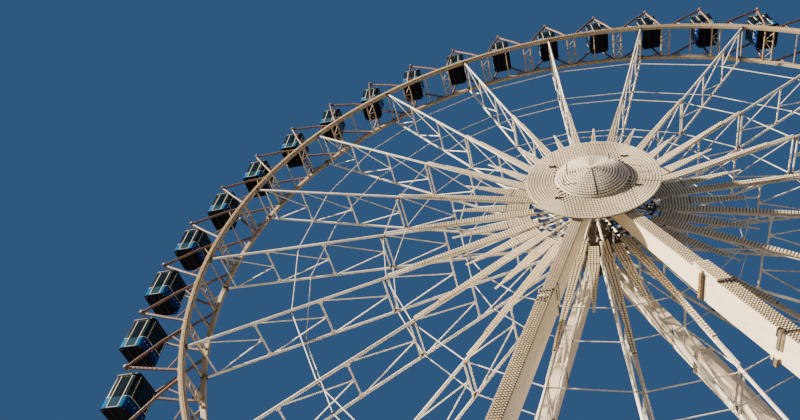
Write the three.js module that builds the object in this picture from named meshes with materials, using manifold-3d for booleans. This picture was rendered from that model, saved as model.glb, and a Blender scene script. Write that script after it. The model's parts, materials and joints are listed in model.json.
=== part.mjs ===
// Transportable observation wheel, modelled at half of its real size.
// Millimetres, +Z up, +Y away from the viewer, origin on the ground under the hub.
import * as THREE from 'three';
import { mergeVertices } from 'three/addons/utils/BufferGeometryUtils.js';
import Module from 'manifold-3d';

const wasm = await Module();
wasm.setup();

// Driving dimensions
const RIM_R = 12375;
const RIM_HALF = 687;
const RIM_WIDE = 160;
const RIM_DEEP = 130;
const HUB_Z = 15600;
const SPOKES = 20;
const CABINS = 40;
const PHASE_DEG = 1.3;
const GAP = 0.3;

const PIVOT_R = 14020;
const KINK_R = 12990;
const KINK_PITCH = 0.27;
const FOOT_PITCH = 0.42;
const ARM = 84;

const CHORD = 90;
const CHORD_T = 76;
const STRUT = 56;
const BRACE = 44;
const TIE = 44;
const TIE_R = [3960, 6360, 9195];
const STRUT_R = [11950, 10292, 8338, 6450, 6300, 4430, 2475];
const DRUM_R = 470;
const FLANGE_IN = 520;
const FLANGE_R = 690;
const FLANGE_T = 60;
const SHAFT_R = 300;
const SEAT = 0.5;

const TRAY_T = 56;
const TRAY_IN_R = 1750;
const TRAY_BEND_R = 2530;
const TRAY_W = 300;
const LONG_TRAY = [[5500, 100], [6150, 50]];
const SHORT_TRAY = [[3850, 100], [4200, 40]];

const LEG_LEAN = Math.tan(22.5 * Math.PI / 180);
const LEG_SPLAY = 0.055;
const LEG_OUT = 180;
const LEG_IN = -155;
const LEG_FRONT = 1547;
const LEG_DEEP = 840;
const NECK_TOP = 420;
const NECK_SET_BACK = 65;
const NECK_DEEP_TOP = 380;
const NECK_DEEP_LOW = 660;
const LEG_JOINTS = [4200, 8400, 12200];
const CLAMP_AT = 6190;
const HEAD_R = 520;

const DISC_R = 1814;
const DISC_Y = 1715;
const DISC_T = 50;
const DOME_R = 970;
const DOME_H = 345;
const DOME_POINTED = 0.45;

const CABIN_HALF_X = 390;
const CABIN_HALF_Y = 500;
const CABIN_CORNER = 100;
const ROOM_HALF_X = 345;
const ROOM_HALF_Y = 430;
const CABIN_FLOOR = -1180;
const CABIN_SILL = -830;
const CABIN_HEAD = -170;
const CABIN_ROOF = -100;

const deg = (a) => a * Math.PI / 180;
const colours = {
  cream: [0xd8c8ad, 0.55, 0.1],
  legs: [0xe9dcc6, 0.5, 0.1],
  rim: [0xcdbb9d, 0.55, 0.1],
  lamp: [0xdccba8, 0.45, 0.1],
  steel: [0x6d6459, 0.6, 0.5],
  cabin: [0x173a86, 0.3, 0.1],
};

// Solids from three.js geometry
function solid(geometry) {
  geometry.deleteAttribute('normal');
  geometry.deleteAttribute('uv');
  const merged = mergeVertices(geometry, 1e-3);
  return new wasm.Manifold(new wasm.Mesh({
    numProp: 3,
    vertProperties: new Float32Array(merged.attributes.position.array),
    triVerts: new Uint32Array(merged.index.array),
  }));
}

function join(parts) {
  let list = parts;
  while (list.length > 1) {
    const next = [];
    for (let i = 0; i < list.length; i += 2) {
      next.push(i + 1 < list.length ? list[i].add(list[i + 1]) : list[i]);
    }
    list = next;
  }
  return list[0];
}

function mesh(name, shape, look) {
  const m = shape.getMesh();
  const geometry = new THREE.BufferGeometry();
  const xyz = new Float32Array(m.numVert * 3);
  for (let i = 0; i < m.numVert; i += 1) {
    for (let c = 0; c < 3; c += 1) xyz[3 * i + c] = m.vertProperties[i * m.numProp + c];
  }
  geometry.setAttribute('position', new THREE.BufferAttribute(xyz, 3));
  geometry.setIndex(new THREE.BufferAttribute(new Uint32Array(m.triVerts), 1));
  geometry.computeVertexNormals();
  const [color, roughness, metalness] = colours[look];
  const made = new THREE.Mesh(geometry,
    new THREE.MeshStandardMaterial({ color, roughness, metalness }));
  made.name = name;
  return made;
}

// A box bar from a to b, wide across the side direction and deep along the third one
function bar(a, b, wide, deep, side) {
  const along = new THREE.Vector3().subVectors(b, a);
  const length = along.length();
  along.normalize();
  const third = new THREE.Vector3().crossVectors(along, side).normalize();
  const across = new THREE.Vector3().crossVectors(third, along);
  const g = new THREE.BoxGeometry(wide, deep, length);
  const m = new THREE.Matrix4().makeBasis(across, third, along);
  m.setPosition(a.clone().add(b).multiplyScalar(0.5));
  g.applyMatrix4(m);
  return solid(g);
}

function box(x0, x1, y0, y1, z0, z1) {
  const g = new THREE.BoxGeometry(x1 - x0, y1 - y0, z1 - z0);
  g.translate((x0 + x1) / 2, (y0 + y1) / 2, (z0 + z1) / 2);
  return solid(g);
}

// A cylinder along Y between y0 and y1
function drum(radius, y0, y1, sides) {
  const g = new THREE.CylinderGeometry(radius, radius, y1 - y0, sides);
  g.translate(0, (y0 + y1) / 2, 0);
  return solid(g);
}

// A ring along Y with a rectangular section
function ring(inner, outer, y0, y1, sides) {
  const loop = [[inner, y0], [outer, y0], [outer, y1], [inner, y1], [inner, y0]]
    .map(([r, y]) => new THREE.Vector2(r, y));
  const g = new THREE.LatheGeometry(loop, sides);
  return solid(g);
}

// A point at angle a from straight up towards +X, round the wheel's axis
const polar = (a, r, y) => new THREE.Vector3(r * Math.sin(a), y, r * Math.cos(a));
const tangent = (a) => new THREE.Vector3(Math.cos(a), 0, -Math.sin(a));
const Y = new THREE.Vector3(0, 1, 0);

// A plate standing across the wheel's axis, between y0 and y1
function plate(points, y0, y1) {
  const g = new THREE.ExtrudeGeometry(new THREE.Shape(points),
    { depth: y1 - y0, bevelEnabled: false });
  g.rotateX(Math.PI / 2);
  g.translate(0, y1, 0);
  return solid(g);
}

// The same plate with openings cut through it
function pierced(points, holes, y0, y1) {
  const cuts = holes.map((h) => plate(h, y0 - 20, y1 + 20));
  return plate(points, y0, y1).subtract(join(cuts));
}

const flat = (a, r) => new THREE.Vector2(r * Math.sin(a), r * Math.cos(a));

// The point w away from the line p-q, at the corner p-q-n, on the side given by s
function corner(p, q, n, w) {
  const d1 = q.clone().sub(p).normalize();
  const d2 = n.clone().sub(q).normalize();
  const n1 = new THREE.Vector2(-d1.y, d1.x);
  const n2 = new THREE.Vector2(-d2.y, d2.x);
  const mid = n1.add(n2).normalize();
  const n3 = new THREE.Vector2(-d2.y, d2.x);
  return q.clone().addScaledVector(mid, w / mid.dot(n3));
}

// A rim in one piece with the kinked brackets that carry the cabins on its side
function rim(s) {
  const pitch = 2 * Math.PI / CABINS;
  const out = RIM_R + RIM_WIDE / 2;
  const outline = [];
  const holes = [];
  for (let i = 0; i < CABINS; i += 1) {
    const a = deg(PHASE_DEG) + i * pitch;
    const apex = flat(a, PIVOT_R);
    const line = [-1, 1].map((t) => [
      flat(a + t * FOOT_PITCH * pitch, RIM_R),
      flat(a + t * KINK_PITCH * pitch, KINK_R),
    ]);
    const [[f0, k0], [f1, k1]] = line;
    const w = ARM / 2;
    const towards = (from, to, r) => {
      const t = (r - from.length()) / (to.length() - from.length());
      return from.clone().lerp(to, t);
    };
    const g0 = towards(f0, k0, out);
    const g1 = towards(f1, k1, out);
    const side = (g, k, v) => g.clone().addScaledVector(
      new THREE.Vector2(-(k.y - g.y), k.x - g.x).normalize(), v);
    outline.push(flat(a - pitch / 2, out / Math.cos(pitch / 4)));
    outline.push(side(g0, k0, w), corner(f0, k0, apex, w));
    outline.push(flat(a, PIVOT_R).addScaledVector(flat(a, 1), 55)
      .addScaledVector(flat(a - Math.PI / 2, 1), 62));
    outline.push(flat(a, PIVOT_R).addScaledVector(flat(a, 1), 55)
      .addScaledVector(flat(a + Math.PI / 2, 1), 62));
    outline.push(corner(f1, k1, apex, -w), side(g1, k1, -w));
    const inner = corner(k0, apex, k1, -w * 1.2);
    holes.push([side(g0, k0, -w), corner(f0, k0, apex, -w), inner,
      corner(f1, k1, apex, w), side(g1, k1, w), flat(a, out)]);
  }
  const bore = [];
  for (let i = 0; i < CABINS; i += 1) {
    bore.push(flat(deg(PHASE_DEG) + (i + 0.5) * pitch, RIM_R - RIM_WIDE / 2));
  }
  return pierced(outline, [...holes, bore],
    s * RIM_HALF - RIM_DEEP / 2, s * RIM_HALF + RIM_DEEP / 2);
}

// Tubes across the wheel at the bracket feet, from the rear rim to just short of the front one
function crossTubes() {
  const parts = [];
  for (let i = 0; i < CABINS; i += 1) {
    for (const t of [-1, 1]) {
      const a = deg(PHASE_DEG + (i + t * FOOT_PITCH) * 360 / CABINS);
      const rear = polar(a, RIM_R, RIM_HALF);
      const front = polar(a, RIM_R, -RIM_HALF + RIM_DEEP / 2 + GAP);
      parts.push(bar(rear, front, 66, 66, tangent(a)));
    }
  }
  return parts;
}

// One spoke: two chords and the struts between them, with bracing from each outer
// node of the chords to the middle of the next strut inwards
function spoke(a) {
  const end = (RIM_R - RIM_WIDE / 2) * Math.cos(Math.PI / CABINS) - GAP;
  const wide = RIM_HALF;
  const y = wide - CHORD / 2;
  const hs = STRUT / 2;
  const holes = [[[end - STRUT, y], [STRUT_R[0] + hs, y], [STRUT_R[0] + hs, -y], [end - STRUT, -y]]];
  for (let i = 1; i < STRUT_R.length; i += 1) {
    const ra = STRUT_R[i - 1];
    const rb = STRUT_R[i];
    const long = ra - rb;
    if (i < 4) {
      const dy = (BRACE / 2) * Math.hypot(long, wide) / long;
      const yc = wide * (long - hs) / long - dy;
      holes.push([[ra - hs, yc], [rb + dy * long / wide, 0], [ra - hs, -yc]]);
      for (const s of [-1, 1]) {
        holes.push([[rb + hs, s * (wide * hs / long + dy)], [rb + hs, s * y],
          [rb + (y - dy) * long / wide, s * y]]);
      }
    } else {
      holes.push([[ra - hs, y], [rb + hs, y], [rb + hs, -y], [ra - hs, -y]]);
    }
  }
  const last = STRUT_R[STRUT_R.length - 1] - hs;
  holes.push([[last, y], [FLANGE_IN - 20, y], [FLANGE_IN - 20, -y], [last, -y]]);
  const prism = (pts, thick) => {
    const g = new THREE.ExtrudeGeometry(
      new THREE.Shape(pts.map(([r, v]) => new THREE.Vector2(r, v))),
      { depth: thick, bevelEnabled: false });
    g.translate(0, 0, -thick / 2);
    const radial = new THREE.Vector3(Math.sin(a), 0, Math.cos(a));
    g.applyMatrix4(new THREE.Matrix4().makeBasis(radial, Y, radial.clone().cross(Y)));
    return solid(g);
  };
  const edge = wide + CHORD / 2;
  const whole = prism([[FLANGE_IN + 4, -edge], [end, -edge], [end, edge], [FLANGE_IN + 4, edge]],
    CHORD_T);
  return whole.subtract(join(holes.map((h) => prism(h, CHORD_T * 2))));
}

// Half of the spokes on the half flanges that bolt to the hub drum
function halfWeb(index) {
  const count = SPOKES / 2;
  const step = 2 * Math.PI / SPOKES;
  const parts = [];
  const first = deg(PHASE_DEG) + index * count * step;
  for (let i = 0; i < count; i += 1) parts.push(spoke(first + i * step));
  const outer = [];
  const inner = [];
  const cut = GAP / FLANGE_IN;
  for (let i = 0; i <= count; i += 1) {
    let a = first + (i - 0.5) * step;
    if (i === 0) a += cut;
    if (i === count) a -= cut;
    outer.push(flat(a, FLANGE_R));
    inner.unshift(flat(a, FLANGE_IN));
  }
  const half = [...outer, ...inner];
  for (const s of [-1, 1]) {
    parts.push(plate(half, s * RIM_HALF - FLANGE_T / 2, s * RIM_HALF + FLANGE_T / 2));
  }
  return parts;
}

// Straight rods from spoke to spoke all round, laid inside the chords
function tieRing(radius, s) {
  const y = s * (RIM_HALF - CHORD / 2 - TIE / 2 - GAP);
  const g = ring(radius - TIE / 2, radius + TIE / 2, y - TIE / 2, y + TIE / 2, SPOKES);
  return g.rotate([0, PHASE_DEG, 0]);
}

// Hub drum with its two flanges, turning on the fixed shaft
function hubDrum() {
  const y0 = RIM_HALF - FLANGE_T / 2;
  const y1 = RIM_HALF + FLANGE_T / 2;
  const rOut = FLANGE_IN * Math.cos(Math.PI / SPOKES) - GAP;
  const bore = (SHAFT_R + SEAT) / Math.cos(Math.PI / SPOKES);
  const loop = [[bore, -y1], [rOut, -y1], [rOut, -y0], [DRUM_R, -y0], [DRUM_R, y0], [rOut, y0],
    [rOut, y1], [bore, y1], [bore, -y1]].map(([r, y]) => new THREE.Vector2(r, y));
  return solid(new THREE.LatheGeometry(loop, SPOKES));
}

// Lamp trays over the front chords and between them
function tray(a, outer) {
  const half = [[TRAY_IN_R, TRAY_W], [TRAY_BEND_R, TRAY_W], ...outer];
  const shape = new THREE.Shape([
    ...half.map(([r, w]) => new THREE.Vector2(-w / 2, r)),
    ...half.reverse().map(([r, w]) => new THREE.Vector2(w / 2, r)),
  ]);
  const g = new THREE.ExtrudeGeometry(shape, { depth: TRAY_T, bevelEnabled: false });
  g.rotateX(Math.PI / 2);
  g.rotateY(a);
  g.translate(0, -(RIM_HALF + CHORD / 2 + GAP), 0);
  return solid(g);
}

function star() {
  const step = 2 * Math.PI / SPOKES;
  const y1 = -(RIM_HALF + CHORD / 2 + GAP);
  const parts = [ring(TRAY_IN_R - 110, TRAY_IN_R + 40, y1 - TRAY_T, y1, SPOKES)];
  for (let i = 0; i < SPOKES; i += 1) {
    const a = deg(PHASE_DEG) + i * step;
    parts.push(tray(a, LONG_TRAY));
    parts.push(tray(a + step / 2, SHORT_TRAY));
  }
  return parts;
}

// A leg as a straight box from the hub to the base, slimmer over its first bolted flange
function legBox(sx, sy, s0, s1, grow) {
  const neck = s1 <= LEG_JOINTS[0];
  const corner = (s, out, front) => {
    const share = (s + NECK_TOP) / (LEG_JOINTS[0] + NECK_TOP);
    const deep = neck ? NECK_DEEP_TOP + (NECK_DEEP_LOW - NECK_DEEP_TOP) * share : LEG_DEEP;
    const face = LEG_FRONT + LEG_SPLAY * s - (neck ? NECK_SET_BACK : 0);
    const x = (out ? LEG_OUT + grow : LEG_IN - grow) + s * LEG_LEAN;
    return new THREE.Vector3(sx * x, sy * (face - (front ? -grow : deep + grow)), HUB_Z - s);
  };
  const g = new THREE.BoxGeometry(1, 1, 1);
  const p = g.attributes.position;
  for (let i = 0; i < p.count; i += 1) {
    const top = p.getZ(i) > 0;
    const out = p.getX(i) * sx > 0;
    const front = p.getY(i) * sy > 0;
    const v = corner(top ? s0 : s1, out, front);
    p.setXYZ(i, v.x, v.y, v.z);
  }
  return solid(g);
}

function leg(sx, sy) {
  const parts = [
    legBox(sx, sy, -NECK_TOP, LEG_JOINTS[0], 0),
    legBox(sx, sy, LEG_JOINTS[0], HUB_Z - 24, 0),
  ];
  for (const s of LEG_JOINTS) parts.push(legBox(sx, sy, s - 30, s + 30, 26));
  if (sx > 0 && sy < 0) {
    const band = legBox(sx, sy, CLAMP_AT - 75, CLAMP_AT + 75, 45);
    const mid = CLAMP_AT * LEG_LEAN;
    const face = -(LEG_FRONT + LEG_SPLAY * CLAMP_AT);
    for (const [near, far] of [[0, 500], [720, 920]]) {
      parts.push(band.intersect(box(mid - 600, mid, face + near, face + far,
        HUB_Z - CLAMP_AT - 200, HUB_Z - CLAMP_AT + 200)));
    }
  }
  const x = sx * (HUB_Z * LEG_LEAN + 12);
  const y = sy * (LEG_FRONT + LEG_SPLAY * HUB_Z - LEG_DEEP / 2);
  parts.push(box(x - 330, x + 330, y - 560, y + 560, 0, 60));
  let shape = join(parts);
  const keep = sx > 0 ? box(GAP / 2, 9000, -9000, 9000, -10, 20000)
    : box(-9000, -GAP / 2, -9000, 9000, -10, 20000);
  shape = shape.intersect(keep);
  const y0 = sy > 0 ? 0 : -3000;
  return shape.subtract(drum(HEAD_R + GAP, y0, y0 + 3000, 20).translate([0, 0, HUB_Z]));
}

// Fixed shaft with a bearing head in each pair of legs
function axle() {
  const parts = [
    drum(SHAFT_R, -DISC_Y + DISC_T / 2 + GAP, LEG_FRONT + 60, 16),
    drum(HEAD_R, -LEG_FRONT - 40, -880, 20),
    drum(HEAD_R, 880, LEG_FRONT + 40, 20),
  ];
  return join(parts).translate([0, 0, HUB_Z]);
}

function hubDisc() {
  return drum(DISC_R, -DISC_Y - DISC_T / 2, -DISC_Y + DISC_T / 2, 48).translate([0, 0, HUB_Z]);
}

function hubDome() {
  const steps = 4;
  const profile = [new THREE.Vector2(0, 0)];
  for (let i = 0; i <= steps; i += 1) {
    const t = (i / steps) * Math.PI / 2;
    const high = (1 - DOME_POINTED) * Math.sin(t) + DOME_POINTED * (1 - Math.cos(t));
    profile.push(new THREE.Vector2(i === steps ? 0 : DOME_R * Math.cos(t), DOME_H * high));
  }
  const g = new THREE.LatheGeometry(profile, 24);
  g.rotateX(Math.PI);
  g.translate(0, -DISC_Y - DISC_T / 2 - GAP, HUB_Z);
  return solid(g);
}

// Ground frame that ties the four feet together
function baseFrame() {
  const x = HUB_Z * LEG_LEAN + 12;
  const y = LEG_FRONT + LEG_SPLAY * HUB_Z - LEG_DEEP / 2;
  const parts = [];
  for (const s of [-1, 1]) {
    parts.push(box(-x + 330 + GAP, x - 330 - GAP, s * y - 90, s * y + 90, 0, 180));
    parts.push(box(s * (x - 600) - 90, s * (x - 600) + 90, -y, y, 0, 180));
  }
  return join(parts);
}

// A hollow cabin under its pivot: tub, corner posts, roof, hangers and the pivot shaft
function cabin() {
  const x = CABIN_HALF_X;
  const y = CABIN_HALF_Y;
  const side = x - CABIN_CORNER;
  const end = y - CABIN_CORNER;
  const plan = new THREE.Shape([[side, -y], [x, -end], [x, end], [side, y], [-side, y], [-x, end],
    [-x, -end], [-side, -y]].map(([u, v]) => new THREE.Vector2(u, v)));
  const g = new THREE.ExtrudeGeometry(plan,
    { depth: CABIN_ROOF - CABIN_FLOOR, bevelEnabled: false });
  g.translate(0, 0, CABIN_FLOOR);
  const cuts = [
    box(-ROOM_HALF_X, ROOM_HALF_X, -ROOM_HALF_Y, ROOM_HALF_Y, CABIN_FLOOR + 50, CABIN_HEAD),
    box(-x - 50, x + 50, -end, end, CABIN_SILL, CABIN_HEAD),
    box(-side, side, -y - 50, y + 50, CABIN_SILL, CABIN_HEAD),
  ];
  const shell = solid(g).subtract(join(cuts));
  const reach = RIM_HALF - RIM_DEEP / 2 - SEAT;
  const hang = y - 70;
  const parts = [shell, box(-25, 25, -reach, reach, -25, 25)];
  for (const s of [-1, 1]) {
    parts.push(box(-25, 25, s * hang - 25, s * hang + 25, CABIN_ROOF - 10, 0));
  }
  return join(parts);
}

// Assembly
const wheel = new THREE.Group();
const root = new THREE.Group();
const raise = (shape) => shape.translate([0, 0, HUB_Z]);

root.add(mesh('base_frame', baseFrame(), 'steel'));
root.add(mesh('leg_front_left', leg(-1, -1), 'legs'));
root.add(mesh('leg_front_right', leg(1, -1), 'legs'));
root.add(mesh('leg_rear_left', leg(-1, 1), 'legs'));
root.add(mesh('leg_rear_right', leg(1, 1), 'legs'));
root.add(mesh('axle', axle(), 'steel'));
root.add(mesh('hub_disc', hubDisc(), 'lamp'));
root.add(mesh('hub_dome', hubDome(), 'lamp'));

root.add(mesh('hub_drum', raise(hubDrum()), 'cream'));
root.add(mesh('rim_front', raise(rim(-1)), 'rim'));
root.add(mesh('rim_rear', raise(join([rim(1), ...crossTubes()])), 'rim'));
root.add(mesh('spokes_a', raise(join(halfWeb(0))), 'cream'));
root.add(mesh('spokes_b', raise(join(halfWeb(1))), 'cream'));
['inner', 'middle', 'outer'].forEach((name, i) => {
  root.add(mesh(`tie_ring_${name}_front`, raise(tieRing(TIE_R[i], -1)), 'cream'));
  root.add(mesh(`tie_ring_${name}_rear`, raise(tieRing(TIE_R[i], 1)), 'cream'));
});
root.add(mesh('lamp_star', raise(join(star())), 'lamp'));

const oneCabin = cabin();
for (let i = 0; i < CABINS; i += 1) {
  const a = deg(PHASE_DEG + i * 9);
  const at = polar(a, PIVOT_R, 0);
  const name = `cabin_${String(i + 1).padStart(2, '0')}`;
  const made = mesh(name, oneCabin, 'cabin');
  made.position.set(at.x, 0, HUB_Z + at.z);
  wheel.add(made);
}
root.add(wheel);

export default root;
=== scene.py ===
"""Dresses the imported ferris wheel: tubes, lamp caps, cabins, finishes and the stage."""

import json
import math

import bmesh
import bpy
from bpy.props import FloatProperty, FloatVectorProperty, IntProperty, PointerProperty
from mathutils import Matrix, Vector


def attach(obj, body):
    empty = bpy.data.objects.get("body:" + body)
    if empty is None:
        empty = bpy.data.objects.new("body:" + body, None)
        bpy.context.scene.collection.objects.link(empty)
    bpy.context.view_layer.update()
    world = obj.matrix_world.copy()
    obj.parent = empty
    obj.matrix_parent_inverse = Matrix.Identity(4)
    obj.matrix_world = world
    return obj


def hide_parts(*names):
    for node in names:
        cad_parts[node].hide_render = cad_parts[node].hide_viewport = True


bl_info = {
    "name": "Ferris Wheel Dressing",
    "version": (1, 0, 0),
    "blender": (4, 5, 0),
    "location": "View3D > Sidebar > Wheel",
    "description": "Builds the tubes, lamps, cabins and finishes of a ferris wheel",
    "category": "Object",
}

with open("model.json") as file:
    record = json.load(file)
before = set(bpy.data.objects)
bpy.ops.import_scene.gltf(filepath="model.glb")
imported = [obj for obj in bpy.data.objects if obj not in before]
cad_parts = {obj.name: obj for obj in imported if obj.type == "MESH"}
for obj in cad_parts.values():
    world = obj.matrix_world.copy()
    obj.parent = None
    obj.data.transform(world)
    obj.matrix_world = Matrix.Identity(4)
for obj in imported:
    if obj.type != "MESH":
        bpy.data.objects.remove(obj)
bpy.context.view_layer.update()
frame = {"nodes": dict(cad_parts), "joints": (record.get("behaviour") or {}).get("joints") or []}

JOINTS = {j["name"]: j for j in frame["joints"]}
HUB = Vector(JOINTS["wheel_spin"]["pos_m"])
AXIS = Vector((0.0, 1.0, 0.0))
FRONT = Vector((0.0, -1.0, 0.0))
RIGHT = Vector((1.0, 0.0, 0.0))
UP = Vector((0.0, 0.0, 1.0))
SPOKES = 20
CABINS = 40
PHASE = math.radians(1.3)
STEP = math.tau / SPOKES
PITCH = math.tau / CABINS
BOTH = (-1, 1)
SMOOTH_UNDER = math.radians(38.0)

# Flats round each circle
RIM_FLATS = 160
DISC_FLATS = 120
STAR_FLATS = 80
DOME_FLATS = 72
DRUM_FLATS = 60

# Rims and the arms of the cabins
RIM_R = 12.375
RIM_HALF = 0.687
RIM_WIDE = 0.160
RIM_DEEP = 0.130
RIM_TOP = RIM_R + RIM_WIDE / 2
PIVOT_R = 14.020
KINK_R = 12.990
KINK_AT = 0.27 * PITCH
FOOT_AT = 0.42 * PITCH
FOOT_PLATE = (0.17, 0.11, 0.020)
STAY_SPREAD = 0.55
ARM_BOLTS = 7
BRACE_HALF = 0.56

# Spokes, tie rods and hub
STRUT_R = (11.950, 10.292, 8.338, 6.450, 6.300, 4.430, 2.475)
BRACED = ((0, 1), (1, 2), (2, 3), (4, 5), (5, 6))
HUB_STRUT_R = 1.10
SLEEVES_R = (0.66, 0.84)
TIE_R = {"inner": 3.960, "middle": 6.360, "outer": 9.195}
DRUM_R = 0.470
FLANGE_IN = 0.520
FLANGE_R = 0.690
FLANGE_HALF = 0.03

# Trays of the star: (radius, width) of their outlines
TRAY_Y = -0.7323
LONG_TRAY_Y = TRAY_Y - 0.034
LONG_TRAY = ((1.690, 0.242), (2.400, 0.276), (5.500, 0.104))
SHORT_TRAY = ((1.830, 0.274), (2.530, 0.314), (3.850, 0.104))
TRAY_SEAM_R = 2.537
TRAY_GAP = 0.012
TRAY_DEEP = 0.018

# Legs: x and y at a drop under the hub
LEAN = math.tan(math.radians(22.5))
SPLAY = 0.055
LEG_OUT = 0.180
LEG_IN = -0.155
LEG_FRONT = 1.547
LEG_DEEP = 0.840
NECK_TOP = 0.420
NECK_SET_BACK = 0.065
NECK_DEEP = (0.380, 0.660)
LEG_JOINTS = (4.200, 8.400, 12.200)
CLAMP_AT = 6.190
FACE_NORMAL = Vector((0.0, -1.0, -SPLAY)).normalized()

# Disc and dome
DISC_R = 1.814
DISC_Y = -1.740
DISC_FRONT = DISC_Y + 0.012
DISC_HOLE_R = 0.30
DISC_THICK = 0.038
DOME_R = 0.970
DOME_H = 0.335
DOME_POINTED = 0.55
DOME_ROWS = 14
DOME_TRACE = 400

# Cabin, from its pivot
HALF_X = 0.390
HALF_Y = 0.500
CORNER = 0.110
LOW = -1.180
FOOT = -1.150
SILL = -0.830
HEAD = -0.140
ROOF = -0.075
DOOR = 0.170
HANGER_Y = 0.43
PIN_Y = 0.621
RIVET_Z = -0.975
DOOR_PANE = (0.338, 0.008, 0.318)
DOOR_PANE_Z = -0.985


# Sizes and colours that a user would change

def length(name, description, default, low, high):
    return FloatProperty(name=name, description=description, default=default, min=low,
                         max=high, unit="LENGTH")


def colour(name, description, default):
    return FloatVectorProperty(name=name, description=description, default=default, size=3,
                               subtype="COLOR", min=0.0, max=1.0)


class WheelSizes(bpy.types.PropertyGroup):
    """Sizes of the tubes and lamps that dress the wheel."""

    chord_radius: length("Chord radius", "Radius of the long tubes of a spoke",
                         0.040, 0.01, 0.08)
    strut_radius: length("Strut radius", "Radius of the tubes across a spoke",
                         0.025, 0.01, 0.05)
    brace_radius: length("Brace radius", "Radius of the slanted tubes of a spoke",
                         0.019, 0.005, 0.05)
    tie_radius: length("Tie radius", "Radius of the rods from spoke to spoke",
                       0.015, 0.005, 0.05)
    arm_radius: length("Arm radius", "Radius of the kinked tubes that carry a cabin",
                       0.042, 0.01, 0.08)
    lamp_row: length("Lamp rows", "Distance between lamp rows on the star and disc",
                     0.077, 0.04, 0.2)
    lamp_pitch: length("Lamp pitch", "Distance between lamps in a row of the star and disc",
                       0.077, 0.02, 0.1)
    leg_row: length("Leg lamp rows", "Distance between lamp rows on a leg",
                    0.0585, 0.03, 0.2)
    rim_pitch: length("Rim lamp pitch", "Distance between lamps round the front rim",
                      0.069, 0.03, 0.2)
    tube_sides: IntProperty(name="Tube sides", description="Number of flats round a tube",
                            default=8, min=6, max=24)


class WheelColours(bpy.types.PropertyGroup):
    """Main colours of the wheel."""

    frame_paint: colour("Frame paint", "Cream paint of trays, caps and brackets",
                        (0.80, 0.71, 0.55))
    leg_paint: colour("Leg paint", "Cream paint of the four legs", (0.97, 0.83, 0.61))
    rust: colour("Rust", "Rust at bolted joints", (0.30, 0.13, 0.045))
    cabin_blue: colour("Cabin blue", "Paint of the cabin skirt at its corners",
                       (0.003, 0.045, 0.19))
    glass: colour("Glass", "Tint of the cabin glass", (0.003, 0.010, 0.015))


# Shader sums

class Value:
    """A shader value; sums on it add Math nodes."""

    def __init__(self, finish, socket):
        self.finish = finish
        self.socket = socket

    def _sum(self, operation, *terms):
        node = self.finish.node("ShaderNodeMath", {"operation": operation},
                                dict(enumerate(terms)))
        return Value(self.finish, node.outputs[0])

    def __add__(self, other):
        return self._sum("ADD", self, other)

    def __mul__(self, other):
        return self._sum("MULTIPLY", self, other)

    def __rsub__(self, other):
        return self._sum("SUBTRACT", other, self)

    __radd__ = __add__
    __rmul__ = __mul__


class Finish:
    """A procedural material on a Principled shader."""

    def __init__(self, name):
        self.material = bpy.data.materials.new(name)
        self.material.use_nodes = True
        self.tree = self.material.node_tree
        self.tree.nodes.clear()
        self.shader = self.node("ShaderNodeBsdfPrincipled")
        self.node("ShaderNodeOutputMaterial", {}, {"Surface": self.shader.outputs[0]})
        self.place = self.node("ShaderNodeTexCoord").outputs["Object"]

    def node(self, kind, settings=None, inputs=None):
        node = self.tree.nodes.new(kind)
        for key, value in (settings or {}).items():
            setattr(node, key, value)
        for key, value in (inputs or {}).items():
            self.feed(node.inputs[key], value)
        return node

    def feed(self, socket, value):
        if isinstance(value, Value):
            value = value.socket
        if isinstance(value, bpy.types.NodeSocket):
            self.tree.links.new(value, socket)
        elif isinstance(value, (tuple, list)) and len(value) == 3 and socket.type == "RGBA":
            socket.default_value = (*value, 1.0)
        else:
            socket.default_value = value

    def set(self, **sockets):
        names = {"base": "Base Color", "rough": "Roughness", "metal": "Metallic",
                 "coat": "Coat Weight", "alpha": "Alpha"}
        for key, value in sockets.items():
            self.feed(self.shader.inputs[names[key]], value)

    def specular(self, level):
        self.shader.inputs["Specular IOR Level"].default_value = level

    def noise(self, scale, detail, stretch=None):
        where = self.place
        if stretch:
            where = self.node("ShaderNodeMapping", {},
                              {"Vector": where, "Scale": stretch}).outputs[0]
        node = self.node("ShaderNodeTexNoise", {}, {
            "Vector": where, "Scale": scale, "Detail": detail, "Roughness": 0.5})
        return Value(self, node.outputs[0])

    def span(self, value, low, high, to_low=0.0, to_high=1.0):
        node = self.node("ShaderNodeMapRange", {"clamp": True, "interpolation_type": "SMOOTHSTEP"},
                         {0: value, 1: low, 2: high, 3: to_low, 4: to_high})
        return Value(self, node.outputs[0])

    def mix(self, share, first, second):
        node = self.node("ShaderNodeMix", {"data_type": "RGBA"},
                         {0: share, 6: first, 7: second})
        return node.outputs[2]

    def bump(self, height, depth):
        node = self.node("ShaderNodeBump", {}, {
            "Height": height, "Distance": depth, "Strength": 1.0})
        self.feed(self.shader.inputs["Normal"], node.outputs[0])


def painted_steel(name, paint, shade, rust, wear=0.62, rough=0.45):
    """Weathered paint: blotches, run marks, rust freckles."""
    f = Finish(name)
    broad = f.noise(0.55, 3.0)
    fine = f.noise(7.0, 5.0)
    runs = f.noise(3.0, 4.0, (2.2, 2.2, 0.22))
    freckle = f.noise(26.0, 2.0)
    tone = f.mix(f.span(broad * 0.6 + fine * 0.4, 0.34, 0.66), paint, shade)
    dirt = f.span(runs, 0.52, 0.78) * 0.45
    tone = f.mix(dirt, tone, tuple(c * k for c, k in zip(shade, (0.62, 0.55, 0.46))))
    rusty = f.span(freckle, wear, wear + 0.06) * f.span(broad, 0.45, 0.6)
    f.set(base=f.mix(rusty, tone, rust), rough=rough + fine * 0.22 + rusty * 0.2)
    f.bump(fine + rusty * 0.6, 0.004)
    return f.material


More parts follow.
